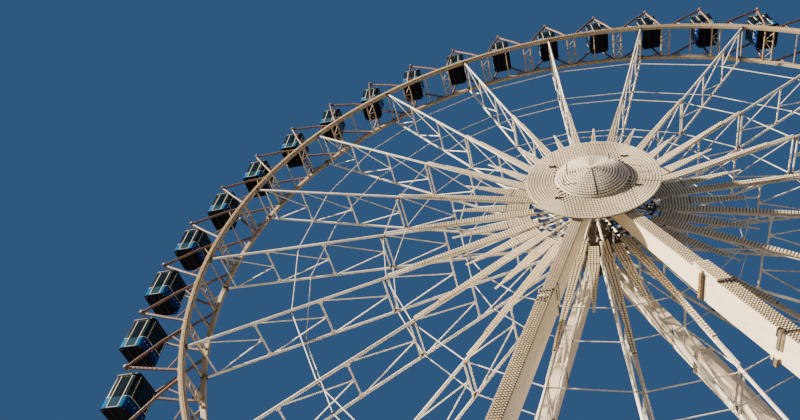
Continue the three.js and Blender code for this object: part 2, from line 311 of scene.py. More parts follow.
def rusty_steel(name, paint, rust):
    """Joint plates and bolts: rust over worn paint."""
    f = Finish(name)
    broad = f.noise(5.0, 4.0)
    fine = f.noise(38.0, 4.0)
    share = f.span(broad * 0.55 + fine * 0.45, 0.42, 0.60)
    deep = f.mix(f.span(fine, 0.35, 0.7), rust, tuple(c * 0.35 for c in rust))
    f.set(base=f.mix(share, paint, deep), rough=0.6 + fine * 0.3, metal=0.15 * (1 - share))
    f.bump(fine * 0.7 + broad, 0.006)
    return f.material


def dark_metal(name, steel, edge):
    """Greasy machine steel."""
    f = Finish(name)
    broad = f.noise(2.2, 3.0)
    fine = f.noise(24.0, 4.0)
    f.set(base=f.mix(f.span(broad * 0.5 + fine * 0.5, 0.35, 0.68), steel, edge),
          rough=0.35 + fine * 0.35, metal=f.span(broad, 0.4, 0.7, 0.3, 0.7))
    f.bump(fine, 0.003)
    return f.material


def lamp_plastic(name, plastic, shade, rough=0.35):
    """Aged plastic of lamp caps and panels."""
    f = Finish(name)
    broad = f.noise(0.9, 3.0)
    grain = f.noise(12.0, 3.0)
    f.set(base=f.mix(f.span(broad * 0.5 + grain * 0.5, 0.36, 0.64), plastic, shade),
          rough=rough + grain * 0.25)
    f.bump(grain, 0.002)
    return f.material


def cabin_paint(name, paint, light, coat=0.012):
    """Cabin paint with road dust and faint scuffs."""
    f = Finish(name)
    broad = f.noise(3.0, 3.0)
    dust = f.noise(16.0, 5.0)
    scuff = f.noise(9.0, 3.0, (0.5, 0.5, 8.0))
    tone = f.mix(f.span(broad, 0.35, 0.7) * 0.6, paint, light)
    grey = f.span(dust * 0.7 + scuff * 0.3, 0.54, 0.72) * 0.07
    f.set(base=f.mix(grey, tone, (0.30, 0.28, 0.25)), rough=0.45 + dust * 0.24, coat=coat)
    f.specular(0.0)
    f.bump(dust + scuff, 0.0012)
    return f.material


def cabin_underside(name, moulding, worn):
    """Dark moulding, dull with dust."""
    f = Finish(name)
    broad = f.noise(4.0, 3.0)
    dust = f.noise(22.0, 4.0)
    f.set(base=f.mix(f.span(broad * 0.6 + dust * 0.4, 0.45, 0.75), moulding, worn),
          rough=0.62 + dust * 0.25)
    f.specular(0.10)
    f.bump(dust, 0.002)
    return f.material


def tinted_glass(name, tint, dusty):
    """Dark cabin glass with dust and wipe marks."""
    f = Finish(name)
    broad = f.noise(2.0, 3.0)
    wipe = f.noise(6.0, 4.0, (1.0, 1.0, 0.15))
    f.set(base=f.mix(f.span(broad * 0.5 + wipe * 0.5, 0.4, 0.75), tint, dusty),
          rough=0.08 + wipe * 0.16, coat=0.12, alpha=0.90)
    f.specular(0.15)
    f.bump(broad, 0.002)
    return f.material


def stage_paint(name, paint):
    """Plain pale floor."""
    f = Finish(name)
    grain = f.span(f.noise(0.6, 4.0), 0.3, 0.7)
    f.set(base=f.mix(grain, paint, tuple(c * 0.94 for c in paint)), rough=0.8)
    return f.material


FINISHES = {}


def finish(key):
    """The material for a finish, made once from its maker, its name and the maker's values."""
    if key in FINISHES:
        return FINISHES[key]
    c = bpy.context.scene.wheel_colours
    rust, leg = tuple(c.rust), tuple(c.leg_paint)
    table = {
        "cream": (painted_steel, "cream_paint", tuple(c.frame_paint), (0.60, 0.50, 0.37), rust),
        "tube": (painted_steel, "tube_paint", (0.88, 0.83, 0.73), (0.66, 0.60, 0.49), rust, 0.60),
        # Dark tan of the rims and the tubes between them: painted shade, a darker copy of the
        # cream for their shaded undersides
        "rim": (painted_steel, "rim_paint", (0.46, 0.37, 0.25), (0.34, 0.26, 0.16), rust, 0.60),
        # Dark reddish brown of the arms: painted shade, their colour in shade, where in sun they
        # show near white
        "arm": (painted_steel, "arm_paint", (0.20, 0.118, 0.078), (0.15, 0.068, 0.043),
                (0.10, 0.035, 0.015), 0.56),
        "leg": (painted_steel, "leg_paint", leg, tuple(v * 0.90 for v in leg), rust, 0.70, 0.5),
        # Dark brown of the drum, its flanges, ribs and fittings: painted shade, taken from how the
        # hub looks in shade
        "brown": (painted_steel, "drum_paint", (0.20, 0.165, 0.125), (0.13, 0.105, 0.08), rust,
                  0.58),
        "rust": (rusty_steel, "rusty_joint", (0.42, 0.33, 0.23), rust),
        "orange": (rusty_steel, "rusty_strip", (0.62, 0.34, 0.13), (0.42, 0.17, 0.045)),
        "dark": (dark_metal, "machine_steel", (0.030, 0.024, 0.020), (0.10, 0.08, 0.06)),
        "steel": (dark_metal, "pin_steel", (0.28, 0.26, 0.24), (0.45, 0.42, 0.38)),
        "tray": (dark_metal, "tray_back", (0.11, 0.085, 0.06), (0.17, 0.13, 0.09)),
        "seam": (dark_metal, "seam_rubber", (0.030, 0.022, 0.016), (0.06, 0.045, 0.03)),
        "cap": (lamp_plastic, "lamp_cap", (0.86, 0.75, 0.56), (0.76, 0.63, 0.45)),
        "panel": (lamp_plastic, "lamp_panel", (0.13, 0.090, 0.055), (0.085, 0.06, 0.038), 0.5),
        # A paler copy of the lamp caps for the dome: painted light for its sunlit side
        "cap_painted_light": (lamp_plastic, "dome_lamp_cap", (0.96, 0.88, 0.73), (0.90, 0.80, 0.65)),
        "rimcap": (lamp_plastic, "rim_lamp_cap", (0.66, 0.50, 0.30), (0.54, 0.40, 0.23)),
        "pale": (lamp_plastic, "pale_fitting", (0.86, 0.84, 0.80), (0.72, 0.70, 0.66), 0.3),
        "lens": (lamp_plastic, "cabin_lamp", (0.88, 0.87, 0.82), (0.78, 0.76, 0.70), 0.2),
        "blue": (cabin_paint, "cabin_blue", tuple(c.cabin_blue), (0.004, 0.100, 0.29)),
        # Darker and paler copies of the cabin blue: painted shade and painted light on the tub's
        # faces
        "navy": (cabin_paint, "cabin_navy", (0.002, 0.014, 0.090), (0.003, 0.030, 0.150)),
        "pale_blue": (cabin_paint, "cabin_pale_blue", (0.010, 0.100, 0.250),
                      (0.030, 0.190, 0.360)),
        "white": (cabin_paint, "cabin_trim", (0.66, 0.64, 0.58), (0.52, 0.50, 0.45), 0.006),
        "seat": (cabin_paint, "cabin_seat", (0.05, 0.05, 0.055), (0.09, 0.09, 0.10), 0.002),
        "black": (cabin_underside, "cabin_black", (0.0022, 0.0026, 0.0100),
                  (0.006, 0.006, 0.007)),
        "line": (cabin_underside, "cabin_line", (0.06, 0.065, 0.07), (0.10, 0.10, 0.10)),
        "glass": (tinted_glass, "cabin_glass", tuple(c.glass), (0.008, 0.022, 0.028)),
        "door_glass": (tinted_glass, "cabin_door_glass", (0.020, 0.055, 0.085),
                       (0.040, 0.105, 0.140)),
        "floor": (stage_paint, "stage_floor", (0.105, 0.105, 0.105)),
    }
    maker, *values = table[key]
    FINISHES[key] = maker(*values)
    return FINISHES[key]


# Mesh helpers

def polar(angle, radius, y, side=0.0):
    """A point of the wheel: angle from straight up towards +X, and a shift to its side."""
    s, c = math.sin(angle), math.cos(angle)
    return Vector((radius * s + side * c, y, HUB.z + radius * c - side * s))


def up(radius, y, side=0.0):
    """A point straight up from the hub."""
    return polar(0.0, radius, y, side)


def radial(angle):
    return Vector((math.sin(angle), 0.0, math.cos(angle)))


def tangent(angle):
    return Vector((math.cos(angle), 0.0, -math.sin(angle)))


def on_face(at, normal, across):
    """A place whose Z runs along the normal, and whose X runs near the second direction."""
    z = normal.normalized()
    y = z.cross(across).normalized()
    return Matrix.Translation(at) @ Matrix((y.cross(z), y, z)).transposed().to_4x4()


def everything(bm):
    return bm.verts[:] + bm.edges[:] + bm.faces[:]


def colour_faces(verts, index):
    for vert in verts:
        for face in vert.link_faces:
            face.material_index = index


def tube(bm, start, end, radius, index=0, sides=8, lids=False, end_radius=None):
    """A round bar between two points, open at its ends unless it has lids."""
    along = end - start
    across = AXIS if abs(along.normalized().y) < 0.9 else RIGHT
    made = bmesh.ops.create_cone(
        bm, cap_ends=lids, cap_tris=False, segments=sides, radius1=radius,
        radius2=radius if end_radius is None else end_radius, depth=along.length,
        matrix=on_face((start + end) / 2, along, across))
    colour_faces(made["verts"], index)


def rod(bm, start, end, radius, index=0, sides=8):
    """A round bar with closed ends."""
    tube(bm, start, end, radius, index, sides, lids=True)


def block(bm, centre, size, index=0, soften=0.0, turn=0.0):
    """A box, turned round Y, with chamfered edges if asked."""
    matrix = Matrix.Translation(centre) @ Matrix.Rotation(turn, 4, "Y")
    matrix = matrix @ Matrix.Diagonal((*size, 1.0))
    made = bmesh.ops.create_cube(bm, size=1.0, matrix=matrix)
    colour_faces(made["verts"], index)
    if soften:
        edges = list({e for v in made["verts"] for e in v.link_edges})
        bmesh.ops.bevel(bm, geom=edges, offset=soften, offset_type="OFFSET", segments=1,
                        profile=0.5, affect="EDGES", material=-1)


def ball(bm, centre, radius, index=0, rings=5, sides=8):
    made = bmesh.ops.create_uvsphere(bm, u_segments=sides, v_segments=rings, radius=radius,
                                     matrix=Matrix.Translation(centre))
    colour_faces(made["verts"], index)


def bolt(bm, at, normal, radius, index=0):
    """A six-sided bolt head that stands on a face."""
    across = RIGHT if abs(normal.x) < 0.9 else UP
    made = bmesh.ops.create_cone(
        bm, cap_ends=True, segments=6, radius1=radius, radius2=radius * 0.9, depth=radius,
        matrix=on_face(at + normal * radius * 0.45, normal, across))
    colour_faces(made["verts"], index)


def bolt_ring(bm, count, phase, radius, y, size, index):
    """Bolts round the shaft on a face that looks away from the wheel's middle."""
    for k in range(count):
        at = polar(phase + k * math.tau / count, radius, y)
        bolt(bm, at, AXIS if y > 0 else FRONT, size, index)


def slab(bm, corners, shift, index):
    """A flat box: the face between the corners, extruded by the shift."""
    face = bm.faces.new([bm.verts.new(c) for c in corners])
    made = bmesh.ops.extrude_face_region(bm, geom=[face])
    moved = [g for g in made["geom"] if isinstance(g, bmesh.types.BMVert)]
    bmesh.ops.translate(bm, verts=moved, vec=shift)
    verts = moved + list(face.verts)
    faces = list({f for v in verts for f in v.link_faces})
    colour_faces(verts, index)
    bmesh.ops.recalc_face_normals(bm, faces=faces)
    return faces


def repeat_round(bm, count, turn=math.tau):
    """Copies everything in the mesh round the wheel's axis."""
    bmesh.ops.spin(bm, geom=everything(bm), cent=HUB, axis=AXIS, dvec=(0.0, 0.0, 0.0),
                   angle=turn * (count - 1) / count, steps=count - 1,
                   use_merge=False, use_duplicate=True, use_normal_flip=False)


def whole_turn(bm, profile, steps, index=0):
    """A closed ring: the (radius, y) profile spun once round the wheel's axis."""
    verts = [bm.verts.new((0.0, y, HUB.z + r)) for r, y in profile]
    edges = [bm.edges.new((a, b)) for a, b in zip(verts, verts[1:] + verts[:1])]
    before = set(bm.faces)
    bmesh.ops.spin(bm, geom=verts + edges, cent=HUB, axis=AXIS, dvec=(0.0, 0.0, 0.0),
                   angle=math.tau, steps=steps, use_merge=True, use_duplicate=False)
    new = [f for f in bm.faces if f not in before]
    bmesh.ops.recalc_face_normals(bm, faces=new)
    for face in new:
        face.material_index = index


def hoop(bm, r0, r1, y0, y1, steps, index=0):
    """A ring with a square section."""
    whole_turn(bm, [(r0, y0), (r1, y0), (r1, y1), (r0, y1)], steps, index)


def turn_all(bm, angle):
    bmesh.ops.rotate(bm, verts=bm.verts[:], cent=HUB, matrix=Matrix.Rotation(angle, 3, "Y"))


def as_mesh(name, bm):
    """A mesh of what a bmesh holds, which is then let go."""
    mesh = bpy.data.meshes.new(name)
    bm.to_mesh(mesh)
    bm.free()
    return mesh


def join_in(bm, sub):
    mesh = as_mesh("part", sub)
    bm.from_mesh(mesh)
    bpy.data.meshes.remove(mesh)


def lamp_cap(width, height, rise):
    """One lamp cap at the origin, which tapers along +Z, wide in X and high in Y."""
    bm = bmesh.new()
    grow = math.sqrt(2.0)
    made = bmesh.ops.create_cone(
        bm, cap_ends=True, cap_tris=False, segments=4, radius1=grow / 2, radius2=grow * 0.38,
        depth=rise,
        matrix=Matrix.Translation((0, 0, rise / 2)) @ Matrix.Rotation(math.pi / 4, 4, "Z"))
    bmesh.ops.scale(bm, verts=made["verts"], vec=(width, height, 1.0))
    colour_faces(made["verts"], 1)
    bmesh.ops.delete(bm, geom=[f for f in bm.faces if f.normal.z < -0.9], context="FACES_ONLY")
    return as_mesh("lamp", bm)


def scatter(bm, mesh, places):
    """Adds a copy of a mesh at each place, and lets the mesh go."""
    for place in places:
        mesh.transform(place)
        bm.from_mesh(mesh)
        mesh.transform(place.inverted())
    bpy.data.meshes.remove(mesh)


def paint(node, key):
    """Gives a solid that stays in sight its finish."""
    materials = frame["nodes"][node].data.materials
    materials.clear()
    materials.append(finish(key))


def piece(name, bm, body, keys, replaced=()):
    """Turns a bmesh into a piece of the object that rides on a body."""
    bm.normal_update()
    mesh = as_mesh(name, bm)
    for key in keys:
        mesh.materials.append(finish(key))
    mesh.shade_smooth()
    mesh.set_sharp_from_angle(angle=SMOOTH_UNDER)
    obj = bpy.data.objects.new(name, mesh)
    bpy.context.scene.collection.objects.link(obj)
    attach(obj, body)
    if replaced:
        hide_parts(*replaced)


# Pieces of the wheel

# Plates on the chords: radius, inset, size, index, chamfer; inset, side and radius of the bolts
DOUBLED_R = (STRUT_R[3] + STRUT_R[4]) / 2
SPOKE_PLATES = (
    *((STRUT_R[k], 0.05, (0.014, 0.12, 0.13), 0, 0.0, 0.08, 0.007, 0.012)
      for k in (1, 2, 5, 6)),
    (DOUBLED_R, 0.045, (0.055, 0.10, 0.12), 1, 0.008, 0.0, 0.0, 0.0),
    *((DOUBLED_R + d, 0.004, (0.078, 0.078, 0.050), 2, 0.010, 0.075, 0.032, 0.013)
      for d in (-0.085, 0.085)),
    (RIM_R - 0.115, 0.0, (0.095, 0.10, 0.06), 1, 0.012, 0.0, 0.047, 0.014),
)


def spoke_template(sizes):
    """One spoke straight up from the hub, with its struts, bracing and joints."""
    bm = bmesh.new()
    n = sizes.tube_sides
    for s in BOTH:
        y = s * RIM_HALF
        tube(bm, up(FLANGE_R - 0.06, y), up(RIM_R - 0.07, y), sizes.chord_radius, 0, n)
        for r in SLEEVES_R:
            rod(bm, up(r, y), up(r + 0.05, y), sizes.chord_radius * 1.3, 0, 10)
        for r, inset, size, index, soften, bolt_inset, side, radius in SPOKE_PLATES:
            block(bm, up(r, y - s * inset), size, index, soften)
            if radius:
                for t in BOTH:
                    bolt(bm, up(r, y - s * bolt_inset, t * side), RIGHT * t, radius, 1)
        for outer, inner in BRACED:
            tube(bm, up(STRUT_R[outer], y), up(STRUT_R[inner], 0.0), sizes.brace_radius, 0, 6)
        tube(bm, up(STRUT_R[6], y), up(HUB_STRUT_R, 0.0), sizes.brace_radius, 0, 6)
    for r in (*STRUT_R, HUB_STRUT_R):
        tube(bm, up(r, -RIM_HALF), up(r, RIM_HALF), sizes.strut_radius, 0, n)
    for _, inner in BRACED:
        block(bm, up(STRUT_R[inner] + 0.03, 0.0), (0.012, 0.13, 0.09))
    return bm


class WHEEL_OT_spokes(bpy.types.Operator):
    """Build the twenty spokes with their flanges at the hub"""

    bl_idname = "wheel.spokes"
    bl_label = "Spokes"

    def execute(self, context):
        sizes = context.scene.wheel_sizes
        for half, name in enumerate(("spokes_a", "spokes_b")):
            bm = spoke_template(sizes)
            turn_all(bm, PHASE + half * SPOKES // 2 * STEP)
            repeat_round(bm, SPOKES // 2, math.pi)
            piece(f"{name}_tubes", bm, "wheel", ("tube", "dark", "rust"), (name,))
        bm = bmesh.new()
        inner = FLANGE_IN + 0.004
        for s in BOTH:
            y = s * RIM_HALF
            y0, y1 = y - FLANGE_HALF, y + FLANGE_HALF
            whole_turn(bm, [(inner, y0), (FLANGE_R - 0.01, y0), (FLANGE_R, y0 + 0.01),
                            (FLANGE_R, y1 - 0.01), (FLANGE_R - 0.01, y1), (inner, y1)],
                       DRUM_FLATS)
            bolt_ring(bm, CABINS, PHASE + PITCH / 2, 0.560, s * (RIM_HALF + FLANGE_HALF),
                      0.014, 1)
            for k in range(SPOKES):
                a = PHASE + k * STEP
                for side in (-0.055, 0.055):
                    block(bm, polar(a, FLANGE_R - 0.02, y, side), (0.016, 0.10, 0.11), turn=a)
        piece("hub_flanges", bm, "wheel", ("brown", "rust"))
        return {"FINISHED"}


def rim_ring(bm, s):
    r0, r1, y0, y1 = (RIM_R - RIM_WIDE / 2, RIM_TOP,
                      s * RIM_HALF - RIM_DEEP / 2, s * RIM_HALF + RIM_DEEP / 2)
    c = 0.012
    whole_turn(bm, [(r0 + c, y0), (r1 - c, y0), (r1, y0 + c), (r1, y1 - c), (r1 - c, y1),
                    (r0 + c, y1), (r0, y1 - c), (r0, y0 + c)], RIM_FLATS)


def arms(bm, s, r):
    """The kinked pair of tubes that carries a cabin on one rim, straight up."""
    y = s * RIM_HALF
    apex = up(PIVOT_R, y)
    for t in BOTH:
        a = t * FOOT_AT
        foot = polar(a, RIM_R + 0.05, y)
        kink = polar(t * KINK_AT, KINK_R, y + s * 0.02)
        tube(bm, foot, kink, r, 1)
        tube(bm, kink, apex, r, 1)
        ball(bm, kink, r * 1.02, 1)
        block(bm, polar(a, RIM_TOP + 0.010, y), FOOT_PLATE, 2, 0.004, a)
        for d in (-0.066, 0.066):
            bolt(bm, polar(a, RIM_TOP + 0.020, y, d), radial(a), 0.012, 2)
        near = polar(t * (FOOT_AT - STAY_SPREAD / RIM_R), RIM_TOP - 0.01, y)
        tube(bm, near, foot.lerp(kink, 0.62), r * 0.55, 1, 6)
        for k in range(ARM_BOLTS):
            at = kink.lerp(apex, (k + 0.8) / (ARM_BOLTS + 1)) + AXIS * s * r * 0.93
            tube(bm, at, at + AXIS * s * 0.016, 0.017, 3, 6, True, 0.012)
    rod(bm, up(PIVOT_R, y - s * 0.062), up(PIVOT_R, y + s * 0.075), 0.052, 1, 14)
    rod(bm, up(PIVOT_R, y + s * 0.075), up(PIVOT_R, y + s * 0.09), 0.042, 2, 10)
    block(bm, up(PIVOT_R - 0.09, y), (0.14, 0.016, 0.11), 1)


def rim_joint(s):
    """A bolted joint of one rim, straight up: a pair of plates and rows of bolts."""
    bm = bmesh.new()
    for d in (-0.012, 0.012):
        block(bm, polar(d / RIM_R, RIM_R, s * RIM_HALF),
              (0.016, RIM_DEEP + 0.02, RIM_WIDE + 0.02), 2, 0.003)
    for side in (-0.135, -0.075, 0.075, 0.135):
        for u in (-0.045, 0.0, 0.045):
            bolt(bm, up(RIM_R + u, s * (RIM_HALF - RIM_DEEP / 2), side), FRONT * s, 0.012, 3)
            bolt(bm, up(RIM_R - RIM_WIDE / 2, s * RIM_HALF + u, side), -UP, 0.012, 3)
    return bm


class WHEEL_OT_rims(bpy.types.Operator):
    """Build both rims with the arms that carry the cabins"""

    bl_idname = "wheel.rims"
    bl_label = "Rims and arms"

    def execute(self, context):
        sizes = context.scene.wheel_sizes
        for s, name in zip(BOTH, ("rim_front", "rim_rear")):
            bm = bmesh.new()
            arms(bm, s, sizes.arm_radius)
            turn_all(bm, PHASE)
            repeat_round(bm, CABINS)
            rim_ring(bm, s)
            joints = rim_joint(s)
            turn_all(joints, PHASE)
            repeat_round(joints, SPOKES)
            join_in(bm, joints)
            piece(f"{name}_frame", bm, "wheel", ("rim", "arm", "rust", "dark"),
                  (name,))
        bm = bmesh.new()
        face = -RIM_HALF - RIM_DEEP / 2
        hoop(bm, RIM_R - 0.030, RIM_R + 0.074, face + 0.002, face - 0.006, RIM_FLATS)
        hoop(bm, RIM_R - 0.046, RIM_R - 0.034, face + 0.002, face - 0.024, RIM_FLATS, 1)
        count = round(math.tau * RIM_R / sizes.rim_pitch)
        angles = [k * math.tau / count for k in range(count)]
        scatter(bm, lamp_cap(sizes.rim_pitch * 0.60, 0.088, 0.026),
                [on_face(polar(a, RIM_R + 0.022, face - 0.006), FRONT, tangent(a))
                 for a in angles])
        piece("rim_lamps", bm, "wheel", ("panel", "rimcap"))
        return {"FINISHED"}


class WHEEL_OT_cross_tubes(bpy.types.Operator):
    """Build the tubes and slanted bracing between the two rims"""

    bl_idname = "wheel.cross_tubes"
    bl_label = "Tubes between the rims"

    def execute(self, context):
        bm = bmesh.new()
        y = RIM_HALF - RIM_DEEP / 2
        tube(bm, up(RIM_R, -y), up(RIM_R, y), 0.024)
        for t in BOTH:
            tube(bm, polar(t * FOOT_AT, RIM_R, -y), polar(t * FOOT_AT, RIM_R, y), 0.031)
            for s in BOTH:
                rod(bm, polar(t * FOOT_AT, RIM_R, s * (y - 0.016)),
                    polar(t * FOOT_AT, RIM_R, s * y), 0.050, 1, 10)
        near, far = FOOT_AT, PITCH - FOOT_AT
        for k in range(3):
            y0, y1 = (2 * BRACE_HALF * n / 3 - BRACE_HALF for n in (k, k + 1))
            a, b = (near, far) if k % 2 else (far, near)
            tube(bm, polar(a, RIM_R, y0), polar(b, RIM_R, y1), 0.014, 0, 6)
            tube(bm, polar(b, RIM_R, y1), polar(a, RIM_R, y1), 0.014, 0, 6)
        turn_all(bm, PHASE)
        repeat_round(bm, CABINS)
        ends = bmesh.new()
        for s in BOTH:
            block(ends, up(RIM_R - 0.02, s * (y - 0.03)), (0.10, 0.06, 0.09), 1, 0.01)
        turn_all(ends, PHASE)
        repeat_round(ends, SPOKES)
        join_in(bm, ends)
        piece("rim_cross_tubes", bm, "wheel", ("rim", "dark"))
        return {"FINISHED"}


class WHEEL_OT_tie_rings(bpy.types.Operator):
    """Build the circles of straight rods from spoke to spoke"""

    bl_idname = "wheel.tie_rings"
    bl_label = "Tie rods"

    def execute(self, context):
        sizes = context.scene.wheel_sizes
        sleeve = 0.096
        for name, radius in TIE_R.items():
            for s, side in zip(BOTH, ("front", "rear")):
                bm = bmesh.new()
                y = s * (RIM_HALF - 0.067)
                a, b = up(radius, y), polar(STEP, radius, y)
                tube(bm, a, b, sizes.tie_radius, 0, sizes.tube_sides)
                for start, end in ((a, b), (b, a)):
                    far = start.lerp(end, sleeve / (b - a).length)
                    rod(bm, start, far, sizes.tie_radius * 1.35)
                block(bm, up(radius, y), (0.052, 0.050, 0.060), 1, 0.008)
                for d in (-0.02, 0.02):
                    bolt(bm, up(radius + d, y - s * 0.025), FRONT * s, 0.010, 1)
                turn_all(bm, PHASE)
                repeat_round(bm, SPOKES)
                node = f"tie_ring_{name}_{side}"
                piece(f"{node}_rods", bm, "wheel", ("tube", "dark"), (node,))
        return {"FINISHED"}


def tray_width(shape, r):
    """Width of a tray at a radius, between the corners of its outline."""
    for (r0, w0), (r1, w1) in zip(shape, shape[1:]):
        if r <= r1:
            return w0 + (w1 - w0) * (r - r0) / (r1 - r0)
    return shape[-1][1]


def tray(bm, shape, back, sizes, angle, lamps):
    """A lamp tray along one spoke angle: a channel with rows of lamps across it."""
    start, end = shape[0][0], shape[-1][0]
    base = back - TRAY_GAP
    corners = [(-w / 2, base, HUB.z + r) for r, w in shape]
    corners += [(w / 2, base, HUB.z + r) for r, w in reversed(shape)]
    for wall in slab(bm, corners, FRONT * TRAY_DEEP, 0):
        if abs(wall.normal.y) < 0.5:
            wall.material_index = 3
    about = Matrix.Translation(HUB) @ Matrix.Rotation(angle, 4, "Y") @ Matrix.Translation(-HUB)
    for k in range(int((end - start) / sizes.lamp_row)):
        r = start + (k + 0.5) * sizes.lamp_row
        width = tray_width(shape, r)
        columns = max(2, round(width / sizes.lamp_pitch))
        pitch = width / columns
        stretch = Matrix.Diagonal((pitch / sizes.lamp_pitch, 1.0, 1.0, 1.0))
        for c in range(columns):
            at = up(r, base - TRAY_DEEP, (c + 0.5 - columns / 2) * pitch)
            lamps.append(about @ on_face(at, FRONT, RIGHT) @ stretch)
    for share in (0.3, 0.62, 0.9):
        r = start + (end - start) * share
        block(bm, up(r, back - 0.010), (tray_width(shape, r) + 0.020, 0.020, 0.028), 3)


# Boxes of the star's middle: size and index
STAR_BOXES = (((0.10, 0.05, 0.07), 0), ((0.07, 0.06, 0.10), 1),
              ((0.12, 0.04, 0.05), 0), ((0.06, 0.06, 0.08), 1))


class WHEEL_OT_lamp_star(bpy.types.Operator):
    """Build the star of lamp trays in front of the spokes, and the cables at its middle"""

    bl_idname = "wheel.lamp_star"
    bl_label = "Lamp star"

    def execute(self, context):
        sizes = context.scene.wheel_sizes
        bm = bmesh.new()
        lamps = []
        for angle, shape, back, tip, wide in (
                (PHASE, LONG_TRAY, LONG_TRAY_Y, 6.28, 0.056),
                (PHASE + STEP / 2, SHORT_TRAY, TRAY_Y, 4.18, 0.060)):
            sub = bmesh.new()
            tray(sub, shape, back, sizes, angle, lamps)
            end = shape[-1][0]
            start = end - 0.01
            block(sub, up((start + tip) / 2, back - 0.018), (wide, 0.030, tip - start), 3, 0.006)
            block(sub, up(end, back - 0.020), (0.096, 0.036, 0.016), 3)
            if shape is SHORT_TRAY:
                block(sub, up(TRAY_SEAM_R, back - 0.042), (0.296, 0.030, 0.014), 2)
            turn_all(sub, angle)
            join_in(bm, sub)
        scatter(bm, lamp_cap(sizes.lamp_pitch * 0.76, sizes.lamp_row * 0.70, 0.024), lamps)
        repeat_round(bm, SPOKES)
        hoop(bm, 2.05, 2.09, TRAY_Y + 0.016, TRAY_Y - 0.036, STAR_FLATS)
        piece("lamp_star_trays", bm, "wheel", ("tray", "cap", "seam", "cream"),
              ("lamp_star",))
        bm = bmesh.new()
        hoop(bm, 1.790, 1.815, TRAY_Y + 0.01, TRAY_Y - 0.020, STAR_FLATS)
        near = bmesh.new()
        for k, (size, index) in enumerate(STAR_BOXES):
            a = PHASE + (k + 0.4) * PITCH
            block(near, polar(a, 1.63 - 0.03 * (k % 2), TRAY_Y - 0.045), size, index, 0.006,
                  a + 0.25 * (k - 1))
            rod(near, polar(a + 0.03, 1.50 + 0.04 * k, TRAY_Y - 0.05),
                polar(a + 0.05, 1.70, TRAY_Y - 0.07), 0.013, 2, 6)
            bend = polar(a + 0.06, 1.28, TRAY_Y + 0.05)
            tube(near, polar(a - 0.02, 1.60, TRAY_Y - 0.02), bend, 0.011, 0, 6)
            tube(near, bend, polar(a + 0.02, 0.90, TRAY_Y + 0.03), 0.011, 0, 6)
        repeat_round(near, 10)
        join_in(bm, near)
        piece("star_cables", bm, "wheel", ("seam", "dark", "pale"))
        return {"FINISHED"}


def dome_point(share):
    """(radius, depth in front of the disc) of the dome at a share from rim to top."""
    t = share * math.pi / 2
    high = (1 - DOME_POINTED) * math.sin(t) + DOME_POINTED * (1 - math.cos(t))
    return DOME_R * math.cos(t), DOME_H * high


def dome_normal(share):
    radius, depth = dome_point(share)
    ahead = dome_point(min(1.0, share + 0.01))
    return Vector((0.0, ahead[0] - radius, ahead[1] - depth)).normalized()


def dome_shell(bm):
    """The dome itself: its profile spun round, with the foot closed."""
    verts = [bm.verts.new((0.0, DISC_Y - depth, HUB.z + r))
             for r, depth in (dome_point(k / DOME_ROWS) for k in range(DOME_ROWS))]
    verts.append(bm.verts.new((0.0, DISC_Y - DOME_H, HUB.z)))
    edges = [bm.edges.new((a, b)) for a, b in zip(verts, verts[1:])]
    bmesh.ops.spin(bm, geom=verts + edges, cent=HUB, axis=AXIS, dvec=(0, 0, 0),
                   angle=math.tau, steps=DOME_FLATS, use_merge=True, use_duplicate=False)
    bmesh.ops.remove_doubles(bm, verts=bm.verts[:], dist=0.0004)
    bmesh.ops.contextual_create(bm, geom=[e for e in bm.edges if e.is_boundary])
    bmesh.ops.recalc_face_normals(bm, faces=bm.faces[:])


def dome_lamps(row, pitch):
    """Circles of lamps up the dome, a row apart along its curve."""
    places = []
    travelled = 0.0
    rows = 0
    last = dome_point(0.0)
    for share in (k / DOME_TRACE for k in range(1, DOME_TRACE + 1)):
        radius, depth = dome_point(share)
        travelled += math.hypot(radius - last[0], depth - last[1])
        last = radius, depth
        if travelled < row * (rows + 0.5):
            continue
        rows += 1
        if radius < 0.03:
            continue
        count = max(4, round(math.tau * radius / pitch))
        for k in range(count):
            a = (k + 0.5) * math.tau / count + math.pi
            out = Matrix.Rotation(a, 3, "Y") @ dome_normal(share)
            places.append(on_face(polar(a, radius, DISC_Y - depth), out, tangent(a)))
    return places


def dome_seam(bm, corners):
    """A thin strip over the lamps of the dome, through corners given on the disc."""
    points = []
    for start, end in zip(corners, corners[1:]):
        for n in range(9):
            flat = start.lerp(end, n / 8) - HUB
            r = min(math.hypot(flat.x, flat.z), DOME_R)
            depth = dome_point(math.acos(r / DOME_R) / (math.pi / 2))[1]
            points.append(HUB + Vector((flat.x, 0, flat.z)) * (1.0 + 0.014 / max(r, 0.1))
                          + Vector((0.0, DISC_Y - depth - 0.022, 0.0)))
    for a, b in zip(points, points[1:]):
        if (b - a).length > 0.002:
            tube(bm, a, b, 0.013, 2, 6)


def disc_lamps(row, pitch):
    """Circles of lamps, lined up in upright columns at the top and the bottom."""
    places = []
    r = DISC_R - row * 0.62
    while r > DOME_R + 0.02:
        columns = int(min(0.98, r * 0.97) / pitch)
        angles = [math.asin(k * pitch / r) for k in range(-columns, columns + 1)]
        edge = math.asin(min(1.0, (columns + 0.5) * pitch / r))
        side = math.pi - 2 * edge
        count = round(side * r / pitch)
        angles += [edge + (k + 0.5) * side / count for k in range(count)]
        for a in angles + [math.pi + a for a in angles]:
            places.append(on_face(polar(a, r, DISC_FRONT), FRONT, tangent(a)))
        r -= row
    return places


# Marks on the disc (angle, inner and outer radius), its four brackets, and the dome's seams,
# as corners (radius, angle), in degrees
DISC_MARKS = ((97.0, 1.26, 1.56), (112.3, 1.14, 1.79))
DISC_BRACKETS = (53.6, -51.1, 124.0, -125.7)
DOME_SEAMS = (((0.03, 181.5), (0.969, 181.5)),
              ((0.969, -35.3), (0.641, -83.5), (0.402, -90.3)),
              ((0.773, -89.8), (0.850, -113.3), (0.642, -137.1)))


